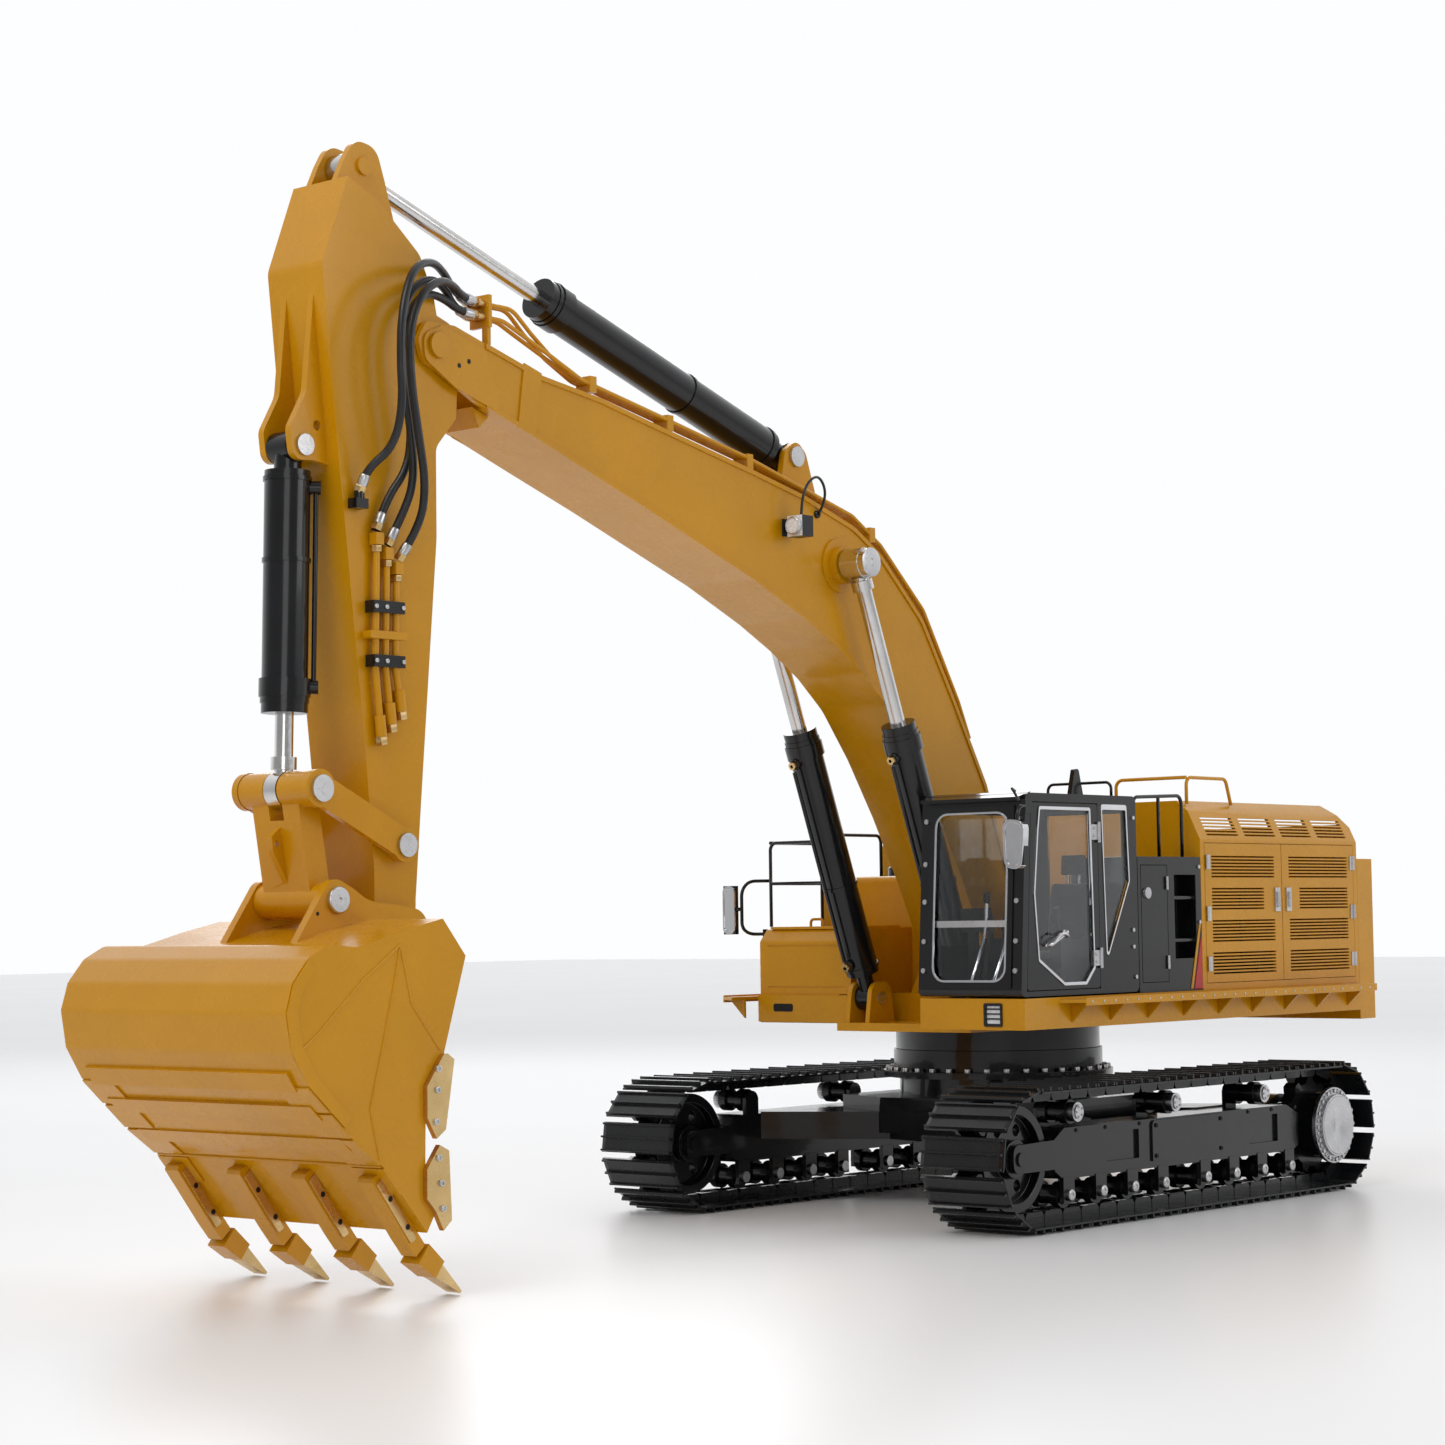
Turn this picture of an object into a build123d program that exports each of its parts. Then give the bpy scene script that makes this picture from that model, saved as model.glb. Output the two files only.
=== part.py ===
"""1:14 hydraulic crawler excavator model, every sub-part in its own STEP.

Frame of the saved parts: origin on the ground under the middle of the whole
machine, +X forwards, +Y to the operator's left (cab side), +Z up, millimetres.
Everything below is laid out from the slew axis, and save() moves it back by
ORIGIN_X.  The working equipment stands with the bucket teeth on the ground.
"""
from build123d import *
import math
import os

os.makedirs("parts", exist_ok=True)

# ---------------------------------------------------------------- dimensions
ORIGIN_X = 188.2            # slew axis to the middle of the whole machine

# Undercarriage
GAUGE_HALF = 121.8          # slew axis to the middle of a track
SHOE_HALF = 28.5            # half the width of a shoe
WHEEL_Z = 40.8              # height of sprocket and idler axes
LINKS_ROUND = 11            # links that would wrap one full turn
LINKS_RUN = 18              # links on each straight run
PITCH_R = 32.5              # radius of the chain line on the wheels
LINK_PITCH = 2 * math.pi * PITCH_R / LINKS_ROUND
AXLE_X = LINKS_RUN * LINK_PITCH / 2     # sprocket at -AXLE_X, idler at +AXLE_X
RAIL_R = 31.0               # wheel axis to the rail face of the links
PLATE_R = 37.0              # wheel axis to the inner face of the shoes
CARRIER_X = (112, 8, -94)
CARRIER_Z, CARRIER_R = 64.5, 7.0
ROLLER_X = (121, 88, 55, 22, -25, -58, -91, -124)
ROLLER_Z, ROLLER_R = 17.7, 7.6
FRAME_HALF = 13.0           # half width of a track frame

# House
HOUSE_HALF = 124.5
DECK_LOW, DECK_TOP = 112.0, 130.0
ENGINE_FRONT, ENGINE_REAR = -44.5, -238.0
TAIL_R = 287.0
CAB_REAR, CAB_IN, CAB_OUT = 27.0, 51.0, 124.5
CAB_FLOOR, CAB_ROOF = 131.0, 248.0
CAB_NOSE_LOW, CAB_NOSE_TOP = 149.0, 141.0
WALL = 2.5

# Pivots of the working equipment, (x, z)
BOOM_FOOT = (16.0, 150.0)
BOOM_CYL_FOOT = (82.0, 128.0)
BOOM_CYL_PIN = (183.0, 384.0)
ARM_PIVOT = (509.0, 471.5)
ARM_CYL_FOOT = (208.0, 447.0)
ARM_CYL_PIN = (547.0, 559.5)
BUCKET_PIVOT = (537.0, 169.0)
ROCKER_PIVOT = (536.0, 216.8)
LINK_PIN = (592.2, 243.8)
BUCKET_PIN = (583.0, 189.7)
BUCKET_CYL_FOOT = (588.0, 413.5)

BOOM_HALF = 24.0            # outer half width of the boom's side plates
ARM_HALF = 20.3
PLATE = 3.0                 # side plate thickness of boom and arm
BOOM_CYL_Y = 37.6
BUCKET_HALF = 82.0
RUN_GAP = 0.05              # radial clearance of running fits
EPS = 0.02


# ------------------------------------------------------------------- helpers
def solids_of(shape):
    if isinstance(shape, (list, tuple)):
        return [s for item in shape for s in solids_of(item)]
    return list(shape.solids())


def save(name, *shapes):
    parts = [s.moved(Location((-ORIGIN_X, 0, 0))) for s in solids_of(list(shapes))]
    export_step(Compound(children=parts) if len(parts) > 1 else parts[0],
                "parts/%s.step" % name)


def join(*shapes):
    first, *rest = solids_of(list(shapes))
    return first.fuse(*rest)


def cut(shape, *tools):
    return shape.cut(*solids_of(list(tools)))


def block(x0, x1, y0, y1, z0, z1):
    return Solid.make_box(x1 - x0, y1 - y0, z1 - z0, Plane((x0, y0, z0)))


def bar(p, q, r):
    """Round bar from point p to point q."""
    axis = Vector(*q) - Vector(*p)
    return Solid.make_cylinder(r, axis.length, Plane(origin=p, z_dir=axis))


def disc(at, r, y0, y1):
    """Cylinder along Y about the pivot `at` = (x, z)."""
    return bar((at[0], y0, at[1]), (at[0], y1, at[1]), r)


def disc_x(x0, x1, y, z, r):
    return bar((x0, y, z), (x1, y, z), r)


def disc_z(x, y, z0, z1, r):
    return bar((x, y, z0), (x, y, z1), r)


def rounded(points):
    """Face in the XZ plane; a point may carry a third value, its corner radius."""
    edges, last = [], None
    ends = []
    count = len(points)
    for i, point in enumerate(points):
        here = Vector(point[0], 0, point[1])
        r = point[2] if len(point) > 2 else 0
        before = Vector(points[i - 1][0], 0, points[i - 1][1])
        after = Vector(points[(i + 1) % count][0], 0, points[(i + 1) % count][1])
        a, b = (before - here).normalized(), (after - here).normalized()
        if not r or a.get_angle(b) > 177:
            ends.append((here, None, here))
            continue
        half = math.radians(a.get_angle(b)) / 2
        shortest = min((before - here).length, (after - here).length)
        r = min(r, 0.45 * shortest * math.tan(half))
        reach = r / math.tan(half)
        middle = here + (a + b).normalized() * (r / math.sin(half) - r)
        ends.append((here + a * reach, middle, here + b * reach))
    for i, (start, middle, end) in enumerate(ends):
        if middle is not None:
            edges.append(Edge.make_three_point_arc(start, middle, end))
        following = ends[(i + 1) % count][0]
        if (following - end).length > 1e-4:
            edges.append(Edge.make_line(end, following))
    return Face(Wire(edges))


def plate(points, y0, y1):
    """Plate of the outline `points` in XZ, from y0 to y1."""
    face = rounded(points).moved(Location((0, y0, 0)))
    return Solid.extrude(face, Vector(0, y1 - y0, 0))


def slab(points, z0, z1):
    """Plate of the outline `points` in XY, from z0 to z1."""
    wire = Wire.make_polygon([Vector(x, y, z0) for x, y in points], close=True)
    return Solid.extrude(Face(wire), Vector(0, 0, z1 - z0))


def section_x(points, x0, x1):
    """Bar of the section `points` in YZ, from x0 to x1."""
    wire = Wire.make_polygon([Vector(x0, y, z) for y, z in points], close=True)
    return Solid.extrude(Face(wire), Vector(x1 - x0, 0, 0))


def mirror_y(shape):
    return [s.mirror(Plane.XZ) for s in solids_of(shape)]


def both(shape):
    return solids_of(shape) + mirror_y(shape)


def bend_radii(points):
    """Largest easy radius at each corner: 0.45 of the shorter run over tan(half turn)."""
    radii = []
    for a, b, c in zip(points, points[1:], points[2:]):
        u, v = Vector(*b) - Vector(*a), Vector(*c) - Vector(*b)
        half = math.radians(u.get_angle(v)) / 2
        radii.append(0.45 * min(u.length, v.length) / math.tan(half))
    return radii


def tube(points, r, cap=None):
    """Round tube along straight runs and tangent arcs."""
    radii = bend_radii(points)
    if cap:
        radii = [min(cap, value) for value in radii]
    path = FilletPolyline(*points, radius=radii) if len(points) > 2 else Line(*points)
    start = Plane(origin=path @ 0, z_dir=path % 0)
    section = Face(Wire([Edge.make_circle(r, start)]))
    return Solid.sweep(section, Wire(path.edges()) if len(points) > 2 else path.wire()), path, radii


def louvres(x0, x1, z0, z1, y0, y1, count):
    """Cutters for one louvre panel: a shallow pocket with `count` through slots."""
    step = (z1 - z0) / count
    return [block(x0, x1, y0, y1, z0 + (i + 0.22) * step, z0 + (i + 0.72) * step)
            for i in range(count)]


# ------------------------------------------------------------- undercarriage
def track_link():
    """One link with its triple-grouser shoe; z is the distance from the wheel axis."""
    half = 9.15
    shoe = section_x([(-SHOE_HALF, PLATE_R), (SHOE_HALF, PLATE_R), (SHOE_HALF, PLATE_R + 1.0),
                      (SHOE_HALF - 3, PLATE_R + 1.6), (-SHOE_HALF + 3, PLATE_R + 1.6),
                      (-SHOE_HALF, PLATE_R + 1.0)], -half, half)
    ribs = [plate([(x - 0.9, PLATE_R + 1.4), (x + 0.9, PLATE_R + 1.4), (x + 0.5, top),
                   (x - 0.5, top)], -SHOE_HALF + 0.6, SHOE_HALF - 0.6)
            for x, top in ((-8.0, WHEEL_Z - 0.8), (0, WHEEL_Z), (8.0, WHEEL_Z - 0.8))]
    rail = plate([(-8.9, PLATE_R + EPS), (-8.9, RAIL_R + 2.5, 1.5), (-7.4, RAIL_R), (7.4, RAIL_R),
                  (8.9, RAIL_R + 2.5, 1.5), (8.9, PLATE_R + EPS)], 5.5, 8.5)
    bush = disc((0, PLATE_R - 3.6), 2.0, -5.6, 5.6)
    return join(shoe, *ribs, rail, rail.mirror(Plane.XZ), bush)


def track_chain(side):
    link, chain = track_link(), []
    run, arc = LINKS_RUN * LINK_PITCH, math.pi * PITCH_R
    for i in range(2 * LINKS_RUN + LINKS_ROUND):
        s = (i + 0.5) * LINK_PITCH
        if s < run:
            x, angle = -AXLE_X + s, 0
        elif s < run + arc:
            x, angle = AXLE_X, 180 * (s - run) / arc
        elif s < 2 * run + arc:
            x, angle = AXLE_X - (s - run - arc), 180
        else:
            x, angle = -AXLE_X, 180 + 180 * (s - 2 * run - arc) / arc
        chain.append(link.moved(Location((x, side * GAUGE_HALF, WHEEL_Z), (0, angle, 0))))
    return chain


def track_frame():
    """Frame of one track, built about y = 0 with the outside towards +Y."""
    h = FRAME_HALF
    beam = plate([(-136, 30), (-128, 27), (126, 27), (134, 32), (134, 50), (124, 56), (-122, 56),
                  (-136, 50)], -h, h)
    window = [plate([(x - 17, 34), (x + 17, 34), (x + 17, 51), (x - 17, 51)], h - 2, h + 1)
              for x in (-94, 64)]
    panel = plate([(-46, 31), (34, 31), (34, 55, 3), (-46, 55, 3)], h - EPS, h + 1.2)
    lugs = [block(x - 5.5, x + 5.5, y0, y1, 13.2, 28) for x in ROLLER_X
            for y0, y1 in ((h - 2.5, h + 0.5), (-h - 0.5, -h + 2.5))]
    posts = [join(block(x - 6, x + 6, -h, -h + 2.8, 55, 66),
                  disc((x, CARRIER_Z), 6, -h, -h + 2.8),
                  disc((x, CARRIER_Z), 2.5, -h + 2, 6)) for x in CARRIER_X]
    yoke = [plate([(120, 33), (AXLE_X + 7, 33, 5), (AXLE_X + 7, WHEEL_Z + 8, 5), (120, 50)], y0, y1)
            for y0, y1 in ((10.3, h), (-h, -10.3))]
    axle = disc((AXLE_X, WHEEL_Z), 4, -h - 1.2, h + 1.2)
    rear = plate([(-122, 30), (-AXLE_X - 6, 28, 6), (-AXLE_X - 6, 54, 6), (-122, 52)], -h - 6, -h + 1)
    motor = disc((-AXLE_X, WHEEL_Z), 19, -SHOE_HALF, -h - 5)
    spindle = disc((-AXLE_X, WHEEL_Z), 6, -h, 12)
    return cut(join(beam, panel, *lugs, *posts, *yoke, axle, rear, motor, spindle), *window)


def sprocket():
    """Toothed ring, hub drum and bolted cover, about y = 0, outside towards +Y."""
    at = (-AXLE_X, WHEEL_Z)
    points = []
    for i in range(LINKS_ROUND):
        for offset, r in ((-0.30, 27.0), (-0.13, 30.8), (0.13, 30.8), (0.30, 27.0)):
            a = 2 * math.pi * (i + offset) / LINKS_ROUND
            points.append((at[0] + r * math.sin(a), at[1] + r * math.cos(a)))
    ring = plate(points, -4.4, 4.4)
    drum = disc(at, 21, 4, 19.5)
    cover = join(disc(at, 24, 19, 21.5), disc(at, 19.5, 21, 24.2))
    bolts = [disc((at[0] + 21.8 * math.cos(a), at[1] + 21.8 * math.sin(a)), 1.3, 21, 22.8)
             for a in (2 * math.pi * i / 16 for i in range(16))]
    return cut(join(ring, drum, cover, *bolts), disc(at, 6 + RUN_GAP, -9, 12.6))


def idler():
    at = (AXLE_X, WHEEL_Z)
    tyre = cut(disc(at, 30.6, -9, 9), disc(at, 25, -10, -3.5), disc(at, 25, 3.5, 10))
    hub = disc(at, 11, -9.8, 9.8)
    holes = [disc((at[0] + 18 * math.cos(a), at[1] + 18 * math.sin(a)), 3.2, -5, 5)
             for a in (math.pi / 3 * i for i in range(6))]
    return cut(join(tyre, hub), disc(at, 4 + RUN_GAP, -12, 12), *holes)


def carrier_roller(x):
    at = (x, CARRIER_Z)
    drum = join(disc(at, CARRIER_R, -9.4, -4), disc(at, 5.4, -5, 5), disc(at, CARRIER_R, 4, 9.4))
    cap = join(disc(at, 5.6, 9, 14.5), disc(at, 4.2, 14, 15.6))
    return cut(join(drum, cap), disc(at, 2.5 + RUN_GAP, -10, 6.6))


def track_roller(x):
    """Lower roller with flanges, its shaft ends and the outside caps."""
    at, h = (x, ROLLER_Z), FRAME_HALF
    body = join(disc(at, 5.5, -h + 2.5, h - 2.5), disc(at, ROLLER_R, -9.6, -4.6),
                disc(at, ROLLER_R, 4.6, 9.6))
    cap = [disc(at, 3.4, h + 0.5, h + 2.3), disc(at, 3.4, -h - 2.3, -h - 0.5)]
    return [body] + cap


def car_body():
    inner = GAUGE_HALF - FRAME_HALF
    quarter = [(104, inner), (58, inner), (28, 64)]
    ring = quarter + [(-x, y) for x, y in reversed(quarter)] + [(-66, 36)]
    legs = slab(ring + [(-x, -y) for x, y in ring], 40, 57)
    deck = slab([(52, 84), (-52, 84), (-70, 40), (-70, -40), (-52, -84), (52, -84), (70, -40),
                 (70, 40)], 44, 66)
    tower = disc_z(0, 0, 60, 80, 62)
    flange = disc_z(0, 0, 78, 82, 72)
    well = disc_z(0, 0, 50, 90, 40)
    return cut(join(legs, deck, tower, flange), well)


def slew_bearing():
    ring = cut(disc_z(0, 0, 82, 95, 65.5), disc_z(0, 0, 81, 96, 52), )
    heads = [disc_z(68.8 * math.cos(a), 68.8 * math.sin(a), 82, 84.2, 1.9)
             for a in (2 * math.pi * i / 36 for i in range(36))]
    return [ring] + heads


# --------------------------------------------------------------------- house
def house_frame():
    front, boom_bay = 146, 50
    deck = slab([(ENGINE_REAR, -HOUSE_HALF), (84, -HOUSE_HALF), (84, -boom_bay), (58, -boom_bay),
                 (58, boom_bay), (front, boom_bay), (front, HOUSE_HALF),
                 (ENGINE_REAR, HOUSE_HALF)], DECK_LOW, DECK_TOP)
    tray = slab([(50, -boom_bay - 1), (98, -boom_bay - 1), (98, boom_bay + 1), (50, boom_bay + 1)],
                108, 113)
    drum = disc_z(0, 0, 95.3, DECK_LOW + 1, 64)
    cheeks = both(plate([(-22, 129), (50, 129), (BOOM_FOOT[0] + 15, 158, 12),
                         (BOOM_FOOT[0] - 12, 167, 14), (-12, 150)], 25.3, 30.3))
    lug = [(BOOM_CYL_FOOT[0] - 13, 112), (BOOM_CYL_FOOT[0] + 13, 112),
           (BOOM_CYL_FOOT[0] + 9, 138, 8.5), (BOOM_CYL_FOOT[0] - 9, 138, 8.5)]
    lugs = both([plate(lug, 28.2, 31.4), plate(lug, 43.8, 47)])
    lamp = block(front - 1.5, front + 1, 96, 108, 114.5, 127)
    slots = [block(front - 3, front + 1, 97, 107, z, z + 1.6) for z in (116, 119, 122, 125)]
    holes = [disc(BOOM_FOOT, 6, -40, 40), disc(BOOM_CYL_FOOT, 4, -60, 60)]
    return cut(join(deck, tray, drum, *cheeks, *lugs), lamp, *slots, *holes)


def pins_of_house():
    """Boom foot pin and the two cylinder foot pins, with their end caps."""
    boom_pin = join(disc(BOOM_FOOT, 6, -31.5, 31.5), disc(BOOM_FOOT, 8, 30.3, 32.3),
                    disc(BOOM_FOOT, 8, -32.3, -30.3))
    foot = join(disc(BOOM_CYL_FOOT, 4, 27.5, 48), disc(BOOM_CYL_FOOT, 5.5, 47, 48.6))
    return [boom_pin] + both(foot)


def counterweight():
    side = ENGINE_REAR - 20
    arc = Edge.make_three_point_arc(Vector(side, HOUSE_HALF, 0), Vector(-TAIL_R, 0, 0),
                                    Vector(side, -HOUSE_HALF, 0))
    face = Face(Wire([arc, Edge.make_line(Vector(side, -HOUSE_HALF, 0), Vector(ENGINE_REAR, -HOUSE_HALF, 0)),
                      Edge.make_line(Vector(ENGINE_REAR, -HOUSE_HALF, 0), Vector(ENGINE_REAR, HOUSE_HALF, 0)),
                      Edge.make_line(Vector(ENGINE_REAR, HOUSE_HALF, 0), Vector(side, HOUSE_HALF, 0))]))
    body = Solid.extrude(face.moved(Location((0, 0, 106))), Vector(0, 0, 106))
    under = plate([(-300, 100), (-252, 100), (-300, 122)], -140, 140)
    crown = plate([(-300, 196), (-300, 215), (-262, 215)], -140, 140)
    grip = both(block(-268, -250, 60, 84, 204, 213))
    return cut(body, under, crown, *grip)


ENGINE_SECTION = [(HOUSE_HALF, DECK_TOP), (HOUSE_HALF, 223), (116, 241), (108, 247.5)]
SHOULDER = ENGINE_SECTION[1:3]
DOOR_LOW, DOOR_TOP = 134.0, 221.0
DOOR_FRONT, DOOR_MID, DOOR_REAR = -49.0, -141.0, -233.0


def mirrored(points):
    return points + [(-y, z) for y, z in reversed(points)]


def shoulder_cutters(x0, x1):
    """Slots along the sloping shoulder of the hood."""
    (ya, za), (yb, zb) = SHOULDER
    cutters = []
    for i in range(6):
        t = 0.17 + 0.115 * i
        y, z = ya + (yb - ya) * t, za + (zb - za) * t
        cutters.append(block(x0, x1, y - 4, y + 3, z - 0.45, z + 0.55))
    return cutters


def engine_cover():
    """Hood with louvred shoulders, open to the two service doors on the left."""
    outer = section_x(mirrored(ENGINE_SECTION), ENGINE_REAR, ENGINE_FRONT)
    inner_half = HOUSE_HALF - WALL
    inside = [(inner_half, DECK_TOP - 1), (inner_half, 222), (114, 239.5), (107, 245)]
    cavity = section_x(mirrored(inside), ENGINE_REAR + WALL, ENGINE_FRONT - WALL)
    doorway = block(DOOR_REAR, DOOR_FRONT, HOUSE_HALF - 6, HOUSE_HALF + 1, DOOR_LOW, DOOR_TOP)
    rear_slope = plate([(ENGINE_REAR - 1, 232), (ENGINE_REAR - 1, 250), (ENGINE_REAR + 20, 250)],
                       -140, 140)
    row = []
    for i in range(4):
        x1 = -55 - 45 * i
        row += both(shoulder_cutters(x1 - 37, x1))
    side = [block(a, b, -HOUSE_HALF - 1, -HOUSE_HALF + WALL + 1, z, z + 1.1)
            for a, b in ((-136, -58), (-226, -148)) for low in (140, 161, 182, 203)
            for z in (low + 2.3 * k for k in range(6))]
    grille = [block(x, x + 1.6, -60, 60, 244, 249) for x in range(-215, -150, 4)]
    cover = cut(cut(outer, cavity), doorway, *row, *side, *grille)
    return cut(cover, rear_slope)


def service_door(x0, x1, hinge_x):
    """Louvred door leaf with its hinge leaves and latch."""
    gap = 0.35
    leaf = block(x0 + gap, x1 - gap, HOUSE_HALF - WALL, HOUSE_HALF, DOOR_LOW + gap, DOOR_TOP - gap)
    latch_x = x1 if hinge_x == x0 else x0
    inward = 1 if hinge_x == x0 else -1
    far, near = hinge_x + inward * 8, latch_x - inward * 9
    cutters = []
    for row, z in enumerate((139, 159, 179, 199)):
        end = latch_x - inward * 22 if row == 2 else near
        a, b = sorted((far, end))
        cutters += louvres(a, b, z, z + 14.5, HOUSE_HALF - WALL - 1, HOUSE_HALF + 1, 7)
    hinges = [disc_z(hinge_x + inward * 1.5, HOUSE_HALF + 1.0, z - 4.5, z + 4.5, 1.0)
              for z in (146, 177, 209)]
    leaves = [block(*sorted((hinge_x + inward * 1.5, hinge_x + inward * 5.5)), HOUSE_HALF - EPS,
                    HOUSE_HALF + 0.9, z - 4.5, z + 4.5) for z in (146, 177, 209)]
    boss = block(latch_x - inward * 7 - 3, latch_x - inward * 7 + 3, HOUSE_HALF - EPS,
                 HOUSE_HALF + 1.2, 178, 193)
    grip = disc_z(latch_x - inward * 7, HOUSE_HALF + 1.6, 180.5, 190.5, 1.2)
    return join(cut(leaf, *cutters), *hinges, *leaves, boss, grip)


CABINET_TOP = 212.0
CABINET_IN = 76.0
HATCH = (-6.0, 23.0)        # front-to-back extent of the cabinet door
LADDER = (-38.0, -14.0)     # recess with the two rungs


def side_cabinet():
    x0, x1 = ENGINE_FRONT + 0.3, CAB_REAR - 0.6
    shell = block(x0, x1, CABINET_IN, HOUSE_HALF, DECK_TOP, CABINET_TOP)
    room = block(x0 + WALL, x1 - WALL, CABINET_IN + WALL, HOUSE_HALF - WALL, DECK_TOP + WALL,
                 CABINET_TOP - WALL)
    doorway = block(HATCH[0], HATCH[1], HOUSE_HALF - 6, HOUSE_HALF + 1, 136, 207)
    niche = block(LADDER[0], LADDER[1], HOUSE_HALF - 14, HOUSE_HALF + 1, 150, 201)
    niche_wall = block(LADDER[0] - 1.5, LADDER[1] + 1.5, HOUSE_HALF - 15.5, HOUSE_HALF - 1, 148.5,
                       202.5)
    rungs = [disc_x(LADDER[0] - 1, LADDER[1] + 1, HOUSE_HALF - 3, z, 1.4) for z in (161, 187)]
    stripe = plate([(-43.4, 131), (-34, 131), (-43.4, 165)], HOUSE_HALF - EPS, HOUSE_HALF + 0.4)
    return join(cut(join(cut(shell, room), niche_wall), doorway, niche), *rungs, stripe)


def cabinet_door():
    gap = 0.35
    leaf = block(HATCH[0] + gap, HATCH[1] - gap, HOUSE_HALF - WALL, HOUSE_HALF, 136 + gap, 207 - gap)
    lock = bar((HATCH[1] - 6, HOUSE_HALF - 0.5, 190), (HATCH[1] - 6, HOUSE_HALF + 1.4, 190), 3.4)
    knuckles = [disc_z(HATCH[0] + 1.4, HOUSE_HALF + 0.9, z - 4, z + 4, 0.9) for z in (148, 196)]
    return join(leaf, lock, *knuckles)


def walkway():
    """Left running board, right running board and their gussets."""
    x0, x1, outer = ENGINE_REAR + 2, 112, 138.5
    board = slab([(x0, HOUSE_HALF), (x1, HOUSE_HALF), (x1 - 8, outer), (x0, outer)], 126.6, 128.6)
    lip = block(x0, x1 - 8, outer - 1.4, outer, 125, 129.6)
    gussets = [section_x([(HOUSE_HALF, 127), (outer - 1.5, 127), (HOUSE_HALF, 115)], x, x + 1.6)
               for x in range(-222, 100, 40)]
    return both(join(board, lip, *gussets))


def tool_box():
    """Stepped right-hand boxes: tool box in front, tank housing behind."""
    low = plate([(20, 130), (83.5, 130), (83.5, 163, 3), (76, 171, 3), (20, 171)], -HOUSE_HALF, -51)
    high = plate([(-43.9, 130), (20.5, 130), (20.5, 204, 4), (-43.9, 204)], -HOUSE_HALF, -40)
    apron = block(84, 86, -HOUSE_HALF, -51, 112.5, 129.5)
    seam = [block(83, 84.5, -118, -57, z, z + 0.8) for z in (134, 160)]
    step = block(40, 62, -HOUSE_HALF - 1, -HOUSE_HALF + 5, 140, 146)
    room = block(-40, 16, -HOUSE_HALF + 3, -43, 133, 200)
    lid = block(26, 78, -120, -56, 170.8, 172.4)
    handle, _, _ = tube([(52, -108, 171.5), (52, -108, 177), (52, -98, 177), (52, -98, 171.5)], 0.9)
    cap = disc_z(-12, -84, 203.5, 209, 8)
    return [cut(join(low, high, lid, handle, cap), room, step, *seam), apron]


def cab_profile(inset=0.0):
    return [(CAB_REAR + inset, CAB_FLOOR + inset), (CAB_NOSE_LOW - inset, CAB_FLOOR + inset),
            (CAB_NOSE_TOP - inset, CAB_ROOF - inset), (CAB_REAR + inset, CAB_ROOF - inset)]


CAB_DOOR = [(68, 134), (143.2, 134), (136.2, 243), (68, 243)]
DOOR_PANE = [(128, 239), (77, 239), (75, 147), (84, 138), (106, 138), (131, 152), (134.5, 190),
             (130, 227)]
REAR_PANE = [(64, 240), (38.5, 240), (36.5, 197), (61, 152)]


def scaled(points, by):
    """The same outline grown by `by` about its own middle."""
    cx = (max(p[0] for p in points) + min(p[0] for p in points)) / 2
    cz = (max(p[1] for p in points) + min(p[1] for p in points)) / 2
    reach = min(max(p[0] for p in points) - cx, max(p[1] for p in points) - cz)
    factor = (reach + by) / reach
    return [(cx + (p[0] - cx) * factor, cz + (p[1] - cz) * factor) for p in points]


def nose_x(z):
    t = (z - CAB_FLOOR) / (CAB_ROOF - CAB_FLOOR)
    return CAB_NOSE_LOW + (CAB_NOSE_TOP - CAB_NOSE_LOW) * t


SCREEN = (CAB_IN + 8, CAB_OUT - 8, 137, 240)     # y0, y1, z0, z1 of the windscreen opening


def cab_shell():
    body = plate([(x, z, 4) for x, z in cab_profile()], CAB_IN, CAB_OUT)
    room = plate(cab_profile(WALL), CAB_IN + WALL, CAB_OUT - WALL)
    y0, y1, z0, z1 = SCREEN
    screen = block(130, 160, y0, y1, z0, z1)
    doorway = plate(CAB_DOOR, CAB_OUT - 6, CAB_OUT + 1)
    rear_side = plate(REAR_PANE, CAB_OUT - 6, CAB_OUT + 1)
    right_side = plate([(40, 160), (132, 160), (128, 238), (40, 238)], CAB_IN - 1, CAB_IN + 6)
    rear = block(CAB_REAR - 1, CAB_REAR + 6, CAB_IN + 10, CAB_OUT - 10, 180, 238)
    hatch = block(60, 115, CAB_IN + 14, CAB_OUT - 14, CAB_ROOF - 6, CAB_ROOF + 1)
    rain_lip = plate([(CAB_NOSE_TOP - 4, CAB_ROOF - 3), (CAB_NOSE_TOP + 5, CAB_ROOF - 4.5),
                      (CAB_NOSE_TOP + 5, CAB_ROOF - 2.5), (CAB_NOSE_TOP - 8, CAB_ROOF + 1)],
                     CAB_IN + 2, CAB_OUT - 2)
    fin = plate([(44, CAB_ROOF - 1), (58, CAB_ROOF - 1), (53, CAB_ROOF + 17, 2),
                 (49, CAB_ROOF + 17, 2)], 96, 99)
    return join(cut(cut(body, room), screen, doorway, rear_side, right_side, rear, hatch),
                rain_lip, fin)


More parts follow.
